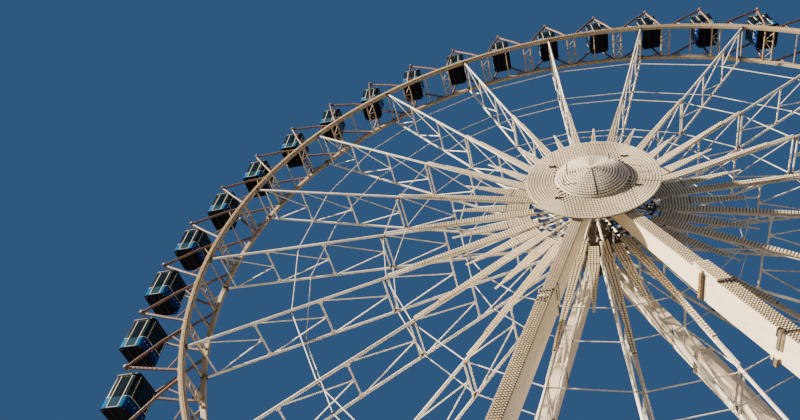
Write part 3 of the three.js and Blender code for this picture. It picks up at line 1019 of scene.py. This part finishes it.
class WHEEL_OT_hub_disc(bpy.types.Operator):
    """Build the round lamp disc and its dome in front of the hub"""

    bl_idname = "wheel.hub_disc"
    bl_label = "Disc and dome"

    def execute(self, context):
        sizes = context.scene.wheel_sizes
        row, pitch = sizes.lamp_row, sizes.lamp_pitch
        front = DISC_FRONT
        bm = bmesh.new()
        back = front + DISC_THICK
        whole_turn(bm, [(DISC_HOLE_R, front), (DISC_R - 0.012, front),
                        (DISC_R, front + 0.012), (DISC_R, back), (DISC_HOLE_R, back)],
                   DISC_FLATS)
        hoop(bm, DISC_R - 0.018, DISC_R, front - 0.010, front + 0.020, DISC_FLATS, 2)
        scatter(bm, lamp_cap(pitch * 0.80, row * 0.74, 0.020), disc_lamps(row, pitch))
        for degrees, r0, r1 in DISC_MARKS:
            a = math.radians(degrees)
            block(bm, polar(a, (r0 + r1) / 2, front - 0.012), (0.010, 0.022, r1 - r0), 3, turn=a)
        for degrees in DISC_BRACKETS:
            at = polar(math.radians(degrees), 1.27, front - 0.032)
            post = at - RIGHT * 0.045
            block(bm, post, (0.075, 0.045, 0.060), 4, 0.008)
            block(bm, at + Vector((0.050, 0.006, -0.004)), (0.13, 0.026, 0.026), 4)
            rod(bm, post + AXIS * 0.02, post + FRONT * 0.036, 0.020, 4)
        piece("hub_disc_lamps", bm, "support",
              ("panel", "cap", "cream", "seam", "dark"), ("hub_disc",))
        bm = bmesh.new()
        dome_shell(bm)
        # Painted light: the dome's caps use the paler copy of the lamp cap colour
        scatter(bm, lamp_cap(pitch * 0.82, row * 0.68, 0.028), dome_lamps(row, pitch))
        for track in DOME_SEAMS:
            dome_seam(bm, [polar(math.radians(a), r, 0.0) for r, a in track])
        foot = polar(math.radians(47.0), 0.80, DISC_Y - 0.13)
        rod(bm, foot, foot + FRONT * 0.17, 0.020, 2, 6)
        top = up(0.0, DISC_Y - DOME_H)
        rod(bm, top + AXIS * 0.02, top + FRONT * 0.012, 0.05, 1, 12)
        piece("hub_dome_lamps", bm, "support", ("panel", "cap_painted_light", "seam"),
              ("hub_dome",))
        return {"FINISHED"}


# Boxes of the hub's machinery that show past the disc: angle in degrees and radius
DARK_BOXES = ((173, 1.14), (170, 1.30), (166, 1.18), (172, 1.46), (169, 1.66), (175, 1.60),
              (178, 1.73), (164, 1.56), (160, 1.22), (122, 1.58), (125, 1.70), (118, 1.48),
              (115, 1.66), (108, 1.42), (111, 1.56))
PALE_BOXES = ((176, 1.36), (158, 1.40), (164, 1.06), (120, 1.38))
LADDERS = (162.5, 117.5)


def hub_ribs():
    """Hoops, ribs and end rings of the turning drum."""
    bm = bmesh.new()
    for y in (-0.42, 0.0, 0.42):
        hoop(bm, DRUM_R - 0.004, DRUM_R + 0.024, y - 0.035, y + 0.035, DRUM_FLATS)
    for k in range(20):
        a = (k + 0.5) * math.tau / 20
        block(bm, polar(a, DRUM_R + 0.014, 0.0), (0.016, 1.28, 0.040), turn=a)
    for s in BOTH:
        hoop(bm, 0.33, 0.45, s * 0.722, s * 0.79, 48, 1)
        bolt_ring(bm, 24, 0.0, 0.40, s * 0.79, 0.018, 2)
    return bm


def hub_machinery():
    """Bearing rings, stays, boxes and ladders that stand still round the shaft."""
    bm = bmesh.new()
    for s in BOTH:
        for y in (0.90, 1.56):
            hoop(bm, 0.40, 0.50, s * y, s * (y + 0.045), 40)
        bolt_ring(bm, 16, 0.0, 0.45, s * 1.605, 0.020, 1)
    for k in range(8):
        a = (k + 0.5) * math.tau / 8
        tube(bm, polar(a, 0.31, -1.58), polar(a, 1.30, -1.70), 0.030, 2)
    hoop(bm, 1.22, 1.30, -1.685, -1.655, 64, 2)
    for k in range(7):
        a = math.radians(146 + k * 12)
        block(bm, polar(a, 0.66 + 0.05 * (k % 3), -1.25 + 0.06 * (k % 2)),
              (0.13, 0.26, 0.11 + 0.03 * (k % 2)), 0 if k % 2 else 3, 0.012, a)
        tube(bm, polar(a, 0.50, -1.05), polar(a + 0.1, 0.86, -1.45), 0.014, 2, 6)
        tube(bm, polar(a + 0.05, 0.52, -0.93), polar(a + 0.12, 0.78, -1.25), 0.010, 4, 6)
    for boxes, size, index in ((DARK_BOXES, (0.10, 0.07, 0.055), 3),
                               (PALE_BOXES, (0.06, 0.05, 0.05), 4)):
        for degrees, r in boxes:
            a = math.radians(degrees)
            block(bm, polar(a, r, -0.96 if r > 1.4 else -0.94), size, index, 0.008, a)
    for degrees in LADDERS:
        a = math.radians(degrees)
        for d in (-0.09, 0.09):
            block(bm, polar(a, 1.14, -0.915, d), (0.022, 0.03, 1.26), turn=a)
        for k in range(9):
            block(bm, polar(a, 0.58 + 0.14 * k, -0.93), (0.20, 0.02, 0.022),
                  0 if k % 3 else 4, turn=a)
        rod(bm, polar(math.radians(degrees - 2), 1.36, -0.985),
            polar(math.radians(degrees - 3.5), 1.68, -0.985), 0.014, 4, 6)
    return bm


class WHEEL_OT_hub_works(bpy.types.Operator):
    """Dress the drum, the shaft and the bearing heads"""

    bl_idname = "wheel.hub_works"
    bl_label = "Hub works"

    def execute(self, context):
        # Painted shade: the drum's dark brown stands in for the shade it lies in
        paint("hub_drum", "brown")
        paint("axle", "dark")
        piece("hub_ribs", hub_ribs(), "wheel", ("brown", "dark", "rust"))
        piece("hub_machinery", hub_machinery(), "support",
              ("dark", "rust", "brown", "seam", "pale"))
        return {"FINISHED"}


# Legs: sx and sy are -1 or 1 for left or right and front or rear, s is a drop under the hub

def leg_point(sx, sy, s, out, front, grow=0.0, neck=False):
    """A corner of a leg's box at a drop s under the hub; the neck is over its first joint."""
    deep, face = LEG_DEEP, LEG_FRONT + SPLAY * s
    if neck:
        share = (s + NECK_TOP) / (LEG_JOINTS[0] + NECK_TOP)
        deep = NECK_DEEP[0] + (NECK_DEEP[1] - NECK_DEEP[0]) * share
        face -= NECK_SET_BACK
    x = (LEG_OUT + grow if out else LEG_IN - grow) + s * LEAN
    return Vector((sx * x, sy * (face - (-grow if front else deep + grow)), HUB.z - s))


def leg_face(sx, s, share, proud=0.0):
    """A point of a front leg's lamp face: share 0 at its inner edge and 1 at its outer one."""
    inner, outer = leg_point(sx, -1, s, False, True), leg_point(sx, -1, s, True, True)
    return inner.lerp(outer, share) + FACE_NORMAL * proud


def raised_face(bm, sx, s0, s1, low, high, index, side0=0.02, side1=0.98):
    """A flat box on the lamp face of a front leg, from a drop s0 to s1."""
    corners = [leg_face(sx, s, share, low) for s, share in
               ((s0, side0), (s0, side1), (s1, side1), (s1, side0))]
    slab(bm, corners, FACE_NORMAL * (high - low), index)


def side_point(sx, sy, s, share, proud, out, neck):
    """A point of a leg's inner or outer side: share 0 at its front edge, 1 at its back one."""
    front = leg_point(sx, sy, s, out, True, proud, neck)
    return front.lerp(leg_point(sx, sy, s, out, False, proud, neck), share)


def side_strip(bm, sx, sy, s0, s1, proud, index, near=0.0, far=1.0, out=False, neck=False):
    """A flat strip across the inner or outer side of a leg, from a drop s0 to s1."""
    corners = [side_point(sx, sy, s, share, proud, out, neck)
               for s, share in ((s0, near), (s0, far), (s1, far), (s1, near))]
    slab(bm, corners, RIGHT * (sx * proud * (-1.1 if out else 1.1)), index)


def side_bolts(bm, sx, sy, s, shares, proud, index, out=False, neck=False, size=0.014):
    """Bolt heads on a side of a leg."""
    away = RIGHT * (sx if out else -sx)
    for share in shares:
        at = side_point(sx, sy, s, share, proud, out, neck)
        rod(bm, at, at + away * 0.022, size, index, 6)


# Lamp faces of the front legs. Stretches with lamps: drops, depth of the panel's back and
# front, index. Plates: drops, depth of back and front, index, and where they start and end
# across the face.
NECK = 0.001 - NECK_SET_BACK
LEG_END = HUB.z - 0.45
LAMP_STRETCHES = {
    -1: ((0.42, 4.10, NECK, NECK + 0.008, 0), (4.42, LEG_END, 0.001, 0.008, 0)),
    1: ((0.42, 3.95, NECK, NECK + 0.008, 0), (3.95, 4.62, NECK, 0.046, 3),
        (4.70, LEG_END, 0.001, 0.008, 0)),
}
LAMP_PLATES = {
    -1: ((4.10, 4.17, NECK, -0.040, 2), (4.165, 4.245, NECK, 0.036, 2, 0.0, 1.0),
         (4.24, 4.43, 0.001, 0.012, 2, 0.0, 1.0), (4.375, 4.412, 0.010, 0.045, 3, 0.46, 0.98),
         (4.400, 4.436, 0.010, 0.040, 3, 0.20, 0.32)),
    1: ((3.94, 3.96, NECK, 0.050, 3), (4.62, 4.70, 0.001, 0.020, 2)),
}
# Loose dark bits under the left joint: drop, share across the face, width
LEFT_BITS = ((4.46, 0.22, 0.05), (4.47, 0.66, 0.09), (4.50, 0.40, 0.07), (4.52, 0.85, 0.05),
             (4.55, 0.58, 0.05), (4.58, 0.30, 0.04))
RIGHT_CLIPS = (0.45, 0.58, 0.70, 0.82, 0.94)


def left_joint_front(bm):
    """Rows of small caps and the loose bits on the lamp face of the left joint."""
    for row in range(5):
        odd = row % 2
        for k in range(5 - odd):
            at = leg_face(-1, 4.185 + 0.046 * row, 0.12 + 0.19 * k + 0.09 * odd,
                          0.040 if row < 2 else 0.016)
            block(bm, at, (0.044, 0.014, 0.020), 1, 0.003)
    for s, share, wide in LEFT_BITS:
        block(bm, leg_face(-1, s, share, 0.028), (wide, 0.02, 0.030), 2)


def right_joint_front(bm):
    """The row of clips on the lamp face of the right joint."""
    for k, share in enumerate(RIGHT_CLIPS):
        odd = k % 2
        block(bm, leg_face(1, 4.655 + 0.02 * odd, share, 0.040),
              (0.045, 0.07, 0.075 - 0.015 * odd), 2, 0.006)
        tube(bm, leg_face(1, 4.60, share, 0.055), leg_face(1, 4.74, share - 0.04, 0.035),
             0.010, 3 if odd else 2, 6)
    block(bm, leg_face(1, 3.93, 0.06, -0.03), (0.03, 0.05, 0.03), 2)


def leg_lamps(sx, sizes):
    """Rows of lamps over the front face of a leg, raised over its first joint."""
    bm = bmesh.new()
    places = []
    columns = 5
    along = (leg_face(sx, 9.0, 0.5) - leg_face(sx, 1.0, 0.5)).normalized()
    across = FACE_NORMAL.cross(along) * sx
    for s0, s1, low, proud, index in LAMP_STRETCHES[sx]:
        raised_face(bm, sx, s0, s1, low, proud, index)
        rows = round((s1 - s0) / sizes.leg_row)
        for k in range(rows * columns):
            s = s0 + (s1 - s0) * (k // columns + 0.5) / rows
            share = (k % columns + 0.5) / columns * 0.97 + 0.015
            places.append(on_face(leg_face(sx, s, share, proud), FACE_NORMAL, across))
    for plate in LAMP_PLATES[sx]:
        raised_face(bm, sx, *plate)
    if sx < 0:
        left_joint_front(bm)
    else:
        right_joint_front(bm)
    width = (LEG_OUT - LEG_IN) / columns
    scatter(bm, lamp_cap(width * 0.70, sizes.leg_row * 0.52, 0.026), places)
    return bm


def leg_joints(sx, sy):
    """The bolted flanges of a leg: strips across each side face, with dark bolts."""
    bm = bmesh.new()
    leg = bm, sx, sy
    for n, s in enumerate(LEG_JOINTS):
        for out in (False, True):
            if n or out or sy > 0:
                side_strip(*leg, s - 0.024, s + 0.024, 0.034, 2, 0.02, 0.98, out)
                for d in (-0.055, 0.055):
                    side_bolts(*leg, s + d, [0.08 + 0.12 * k for k in range(8)], 0.004, 1,
                               out, n == 0 and d < 0)
            elif sx > 0:
                side_strip(*leg, s - 0.020, s + 0.050, 0.036, 0, 0.09, 0.99)
                # Painted shade: this dark strip below the orange flange stands in for the flange's
                # shaded lower side
                side_strip(*leg, s + 0.070, s + 0.112, 0.030, 1, 0.06, 0.99)
                side_strip(*leg, s - 0.100, s + 0.060, 0.046, 3, 0.0, 0.10)
                side_bolts(*leg, s + 0.015, [0.14 + 0.09 * k for k in range(10)], 0.036, 2)
                side_bolts(*leg, s + 0.140, [0.10 + 0.09 * k for k in range(10)], 0.006, 1)
                side_bolts(*leg, s + 0.190, [0.02, 0.96], 0.006, 1)
                side_bolts(*leg, s - 0.09, [0.99], 0.004, 1, neck=True)
            else:
                side_strip(*leg, s - 0.200, s - 0.032, 0.012, 3, 0.02, 0.98, neck=True)
                side_strip(*leg, s - 0.235, s - 0.200, 0.018, 1, neck=True)
                side_strip(*leg, s - 0.028, s + 0.050, 0.034, 3, 0.02, 0.98)
                side_bolts(*leg, s + 0.010, [0.10, 0.20, 0.30, 0.40, 0.66, 0.76, 0.86, 0.94],
                           0.034, 1, size=0.031)
    return bm


def clamp_plates():
    """The two worn clamp plates on the inner side of the front right leg, their dark brown partly
    painted shade.
    """
    bm = bmesh.new()
    for near, far, at in ((0.0, 0.500, CLAMP_AT), (0.720, 0.920, CLAMP_AT + 0.012)):
        side_strip(bm, 1, -1, at, at + 0.066, 0.060, 2, near / LEG_DEEP, far / LEG_DEEP)
        side_strip(bm, 1, -1, at - 0.030, at - 0.004, 0.066, 0, near / LEG_DEEP,
                   (near + 0.19) / LEG_DEEP)
    raised_face(bm, 1, CLAMP_AT + 0.02, CLAMP_AT + 0.06, 0.004, 0.040, 0, 0.0, 0.98)
    block(bm, leg_face(1, CLAMP_AT - 0.02, 0.04, 0.03), (0.03, 0.05, 0.07), 0, 0.006)
    return bm


class WHEEL_OT_legs(bpy.types.Operator):
    """Dress the four box legs, their joints and their lamps"""

    bl_idname = "wheel.legs"
    bl_label = "Legs"

    def execute(self, context):
        sizes = context.scene.wheel_sizes
        for sx, side in zip(BOTH, ("left", "right")):
            for sy, end in zip(BOTH, ("front", "rear")):
                paint(f"leg_{end}_{side}", "leg")
                piece(f"leg_joints_{end}_{side}", leg_joints(sx, sy), "support",
                      ("orange", "dark", "brown", "leg"))
            piece(f"leg_lamps_{side}", leg_lamps(sx, sizes), "support",
                  ("panel", "cap", "dark", "leg"))
        piece("leg_clamps", clamp_plates(), "support", ("dark", "rust", "brown"))
        return {"FINISHED"}


class WHEEL_OT_base(bpy.types.Operator):
    """Dress the ground frame and the feet"""

    bl_idname = "wheel.base"
    bl_label = "Base"

    def execute(self, context):
        paint("base_frame", "dark")
        bm = bmesh.new()
        for sx in BOTH:
            for sy in BOTH:
                foot = Vector((sx * (HUB.z * LEAN + 0.012),
                               sy * (LEG_FRONT + SPLAY * HUB.z - 0.420), 0.0))
                for dx in (-0.27, 0.27):
                    for dy in (-0.48, -0.16, 0.16, 0.48):
                        bolt(bm, foot + Vector((dx, dy, 0.060)), UP, 0.028)
                for dy in (-0.25, 0.0, 0.25):
                    block(bm, foot + Vector((sx * 0.235, dy, 0.16)), (0.10, 0.02, 0.20), 1)
        piece("foot_bolts", bm, "support", ("rust", "leg"))
        return {"FINISHED"}


# Cabins

# Bars and boxes, mirrored to both sides: place, size, index, chamfer
UPPER = (HEAD + SILL) / 2
CABIN_BLOCKS = (
    ((0.125, 0, LOW - 0.002), (0.010, 0.90, 0.006), 6, 0),
    ((DOOR, HALF_Y - 0.008, (HEAD + FOOT) / 2), (0.024, 0.026, HEAD - FOOT), 2, 0),
    ((DOOR + 0.075, HALF_Y - 0.010, UPPER), (0.008, 0.014, HEAD - SILL), 6, 0),
    ((0, HALF_Y - 0.010, FOOT), (2 * DOOR, 0.026, 0.014), 2, 0),
    ((0, HALF_Y - 0.010, HEAD - 0.02), (2 * (HALF_X - CORNER), 0.024, 0.014), 6, 0),
    ((HALF_X - 0.012, HALF_Y - CORNER, UPPER), (0.016, 0.018, HEAD - SILL), 2, 0),
    ((HALF_X - 0.010, 0, HEAD - 0.02), (0.024, 2 * (HALF_Y - CORNER), 0.012), 6, 0),
    ((0, HALF_Y + 0.010, ROOF - 0.016), (2 * (HALF_X - 0.085), 0.012, 0.016), 2, 0.003),
    ((0, HANGER_Y, ROOF + 0.024), (0.10, 0.07, 0.012), 4, 0),
    ((0, 0.30, -0.93), (0.60, 0.22, 0.05), 5, 0.012),
    ((0, 0.385, -0.76), (0.60, 0.04, 0.34), 5, 0.012),
    ((0, 0.33, -1.05), (0.54, 0.10, 0.20), 5, 0),
)
# Rivets of the skirt's sides: y and how far they sit in
RIVETS = ((-0.425, 0.006), (-0.275, 0), (-0.122, 0), (0.033, 0), (0.175, 0), (0.325, 0))


def mirrored(x, y, z):
    """The places that mirroring a point in x and in y gives, each once."""
    return dict.fromkeys((sx * x, sy * y, z) for sx in BOTH for sy in BOTH)


def rounded_box(bm, half_x, half_y, z0, z1, corner, index, segments=5, edge=0.0):
    """A box with rounded upright corners, and softened ends if asked."""
    matrix = Matrix.Translation((0, 0, (z0 + z1) / 2)) @ Matrix.Diagonal(
        (half_x * 2, half_y * 2, z1 - z0, 1.0))
    made = bmesh.ops.create_cube(bm, size=1.0, matrix=matrix)["verts"]
    colour_faces(made, index)
    upright = [e for e in {e for v in made for e in v.link_edges}
               if abs((e.verts[0].co - e.verts[1].co).z) > 1e-4]
    rest = bmesh.ops.bevel(bm, geom=upright, offset=corner, offset_type="OFFSET",
                           segments=segments, profile=0.5, affect="EDGES", material=-1)
    if edge:
        flat = [e for e in {e for f in rest["faces"] for v in f.verts for e in v.link_edges}
                if abs((e.verts[0].co - e.verts[1].co).z) < 1e-5
                and len({round(f.normal.z) for f in e.link_faces}) == 2]
        bmesh.ops.bevel(bm, geom=flat, offset=edge, offset_type="OFFSET", segments=2,
                        profile=0.5, affect="EDGES", material=-1)


def cut_doorway(bm, depth, floor):
    """Takes out what lies in the two doorways, down to a floor."""
    for x in (-DOOR, DOOR):
        bmesh.ops.bisect_plane(bm, geom=everything(bm), plane_co=(x, 0, 0), plane_no=(1, 0, 0))
    centres = [(f, f.calc_center_median()) for f in bm.faces]
    bmesh.ops.delete(bm, geom=[f for f, c in centres if abs(c.x) < DOOR
                               and abs(c.y) > HALF_Y - depth and c.z > floor],
                     context="FACES")


def cabin_body():
    """Tub, floor lamps, frame bars, roof, hangers and seats, under a pivot at 0, 0, 0."""
    bm = bmesh.new()
    tub = bmesh.new()
    rounded_box(tub, HALF_X, HALF_Y, LOW + 0.012, SILL, CORNER, 0)
    bmesh.ops.delete(tub, geom=[f for f in tub.faces if f.normal.z > 0.9], context="FACES")
    bmesh.ops.bisect_plane(tub, geom=everything(tub), plane_co=(0, 0, FOOT), plane_no=(0, 0, 1))
    cut_doorway(tub, 0.02, FOOT)
    # Painted shade and light: the side faces get a darker copy of the blue, and the front and back
    # faces a paler one, for shade and sun
    for face in tub.faces:
        if abs(face.normal.x) > 0.9:
            face.material_index = 7
        elif abs(face.normal.y) > 0.9:
            face.material_index = 8
    bmesh.ops.solidify(tub, geom=tub.faces[:], thickness=0.028)
    join_in(bm, tub)
    trim = bmesh.new()
    rounded_box(trim, HALF_X - 0.004, HALF_Y - 0.004, LOW, LOW + 0.014, CORNER - 0.004, 1)
    rounded_box(trim, HALF_X + 0.003, HALF_Y + 0.003, SILL - 0.006, SILL + 0.010,
                CORNER + 0.003, 2)
    lids = [f for f in trim.faces
            if abs(f.normal.z) > 0.9 and f.calc_center_median().z > SILL - 0.01]
    for face in lids:
        bmesh.ops.inset_region(trim, faces=[face], thickness=0.022)
    bmesh.ops.delete(trim, geom=[f for f in lids if f.is_valid], context="FACES")
    cut_doorway(trim, 0.03, SILL - 0.02)
    join_in(bm, trim)
    roof = bmesh.new()
    rounded_box(roof, HALF_X + 0.010, HALF_Y + 0.012, HEAD, ROOF, CORNER + 0.01, 1, 5, 0.012)
    rounded_box(roof, HALF_X - 0.06, HALF_Y - 0.06, ROOF - 0.004, ROOF + 0.022, CORNER - 0.03,
                1, 4, 0.012)
    join_in(bm, roof)
    for place, size, index, soften in CABIN_BLOCKS:
        for at in mirrored(*place):
            block(bm, at, size, index, soften)
    for place, radius in (((0.3175, 0.410, LOW + 0.002), 0.013),
                          ((0.335, 0.445, ROOF - 0.016), 0.020)):
        for at in mirrored(*place):
            ball(bm, at, radius, 3)
    for sx in BOTH:
        for y, sunk in RIVETS:
            ball(bm, (sx * (HALF_X - sunk), y, RIVET_Z), 0.014, 3, 4)
    for sy in BOTH:
        pivot = AXIS * sy * HANGER_Y
        tube(bm, pivot + UP * ROOF, pivot, 0.022, 4)
        ball(bm, pivot, 0.040, 4, 6, 10)
        rod(bm, pivot, AXIS * sy * PIN_Y, 0.024, 4, 10)
    tube(bm, FRONT * HANGER_Y, AXIS * HANGER_Y, 0.016, 4)
    return bm


def cabin_panes():
    """Curved glass all round above the sill, and the two door panes below it."""
    half_x, half_y = HALF_X - 0.006, HALF_Y - 0.006
    bm = bmesh.new()
    rounded_box(bm, half_x, half_y, SILL + 0.004, HEAD + 0.002, CORNER - 0.006, 0)
    bmesh.ops.delete(bm, geom=[f for f in bm.faces if abs(f.normal.z) > 0.9], context="FACES")
    bmesh.ops.solidify(bm, geom=bm.faces[:], thickness=0.008)
    for s in BOTH:
        block(bm, (0.0, s * (half_y - 0.004), DOOR_PANE_Z), DOOR_PANE, 1)
    return bm


class WHEEL_OT_cabins(bpy.types.Operator):
    """Build the forty cabins on their pivots"""

    bl_idname = "wheel.cabins"
    bl_label = "Cabins"

    def execute(self, context):
        shell = as_mesh("cabin_body", cabin_body())
        panes = as_mesh("cabin_panes", cabin_panes())
        for k in range(CABINS):
            node = f"cabin_{k + 1:02d}"
            at = Vector(JOINTS[f"{node}_swing"]["pos_m"])
            for mesh, ending, keys, replaced in (
                    (shell, "shell", ("blue", "black", "white", "lens", "steel", "seat", "line",
                                      "navy", "pale_blue"), (node,)),
                    (panes, "glass", ("glass", "door_glass"), ())):
                bm = bmesh.new()
                bm.from_mesh(mesh)
                bmesh.ops.translate(bm, verts=bm.verts[:], vec=at)
                piece(f"{node}_{ending}", bm, f"{node}_body", keys, replaced)
        bpy.data.meshes.remove(shell)
        bpy.data.meshes.remove(panes)
        return {"FINISHED"}


# Stage

# Suns: name, energy, angle, direction, colour
LIGHTS = (("key", 18.5, 1.6, (1.0, 0.368, -0.52), (1.0, 0.88, 0.70)),
          ("fill", 0.05, 60.0, (-0.5, 0.9, -0.4), (0.80, 0.88, 1.0)))
SKY = (0.037, 0.093, 0.212, 1.0)
FLOOR_HALF = 120.0
FLOOR_DROP = 0.004
SENSOR_MM = 36.0
LENS_MM = 27.672
SEEN_TO = 400.0
CAMERA_AT = (-2.01521476, -12.16267608, 1.01955824)
CAMERA_AXES = ((0.96888554, 0.239504, 0.06243914), (0.15479293, -0.78319234, 0.60220338),
               (0.19313198, -0.573801, -0.79589726))


class WHEEL_OT_stage(bpy.types.Operator):
    """Set the floor, the soft light and the camera"""

    bl_idname = "wheel.stage"
    bl_label = "Stage"

    def execute(self, context):
        scene = context.scene
        bm = bmesh.new()
        bmesh.ops.create_grid(bm, x_segments=4, y_segments=4, size=FLOOR_HALF,
                              matrix=Matrix.Translation(-UP * FLOOR_DROP))
        mesh = as_mesh("floor", bm)
        mesh.materials.append(finish("floor"))
        floor = bpy.data.objects.new("floor", mesh)
        scene.collection.objects.link(floor)
        for name, energy, angle, direction, tint in LIGHTS:
            light = bpy.data.lights.new(name, "SUN")
            light.energy = energy
            light.angle = math.radians(angle)
            light.color = tint
            lamp = bpy.data.objects.new(name, light)
            lamp.rotation_mode = "QUATERNION"
            lamp.rotation_quaternion = Vector(direction).to_track_quat("-Z", "Y")
            scene.collection.objects.link(lamp)
        world = bpy.data.worlds.new("studio")
        world.use_nodes = True
        background = world.node_tree.nodes["Background"]
        background.inputs["Color"].default_value = SKY
        background.inputs["Strength"].default_value = 1.0
        scene.world = world
        data = bpy.data.cameras.new("camera")
        data.sensor_width = SENSOR_MM
        data.lens = LENS_MM
        data.clip_end = SEEN_TO
        camera = bpy.data.objects.new("camera", data)
        camera.matrix_world = (Matrix.Translation(CAMERA_AT)
                               @ Matrix(CAMERA_AXES).transposed().to_4x4())
        scene.collection.objects.link(camera)
        scene.camera = camera
        return {"FINISHED"}


OPERATORS = (WHEEL_OT_spokes, WHEEL_OT_rims, WHEEL_OT_cross_tubes, WHEEL_OT_tie_rings,
             WHEEL_OT_lamp_star, WHEEL_OT_hub_disc, WHEEL_OT_hub_works, WHEEL_OT_legs,
             WHEEL_OT_base, WHEEL_OT_cabins, WHEEL_OT_stage)


class WHEEL_PT_panel(bpy.types.Panel):
    """Buttons for each group of pieces"""

    bl_label = "Wheel"
    bl_idname = "WHEEL_PT_panel"
    bl_space_type = "VIEW_3D"
    bl_region_type = "UI"
    bl_category = "Wheel"

    def draw(self, context):
        layout = self.layout
        for group in (context.scene.wheel_sizes, context.scene.wheel_colours):
            for key in group.__annotations__:
                layout.prop(group, key)
        for operator in OPERATORS:
            layout.operator(operator.bl_idname)


CLASSES = (WheelSizes, WheelColours, *OPERATORS, WHEEL_PT_panel)


def register():
    for cls in CLASSES:
        bpy.utils.register_class(cls)
    bpy.types.Scene.wheel_sizes = PointerProperty(type=WheelSizes)
    bpy.types.Scene.wheel_colours = PointerProperty(type=WheelColours)


def unregister():
    del bpy.types.Scene.wheel_colours
    del bpy.types.Scene.wheel_sizes
    for cls in reversed(CLASSES):
        bpy.utils.unregister_class(cls)


def main():
    register()
    for operator in OPERATORS:
        group, name = operator.bl_idname.split(".")
        getattr(getattr(bpy.ops, group), name)()


if __name__ == "__main__":
    main()
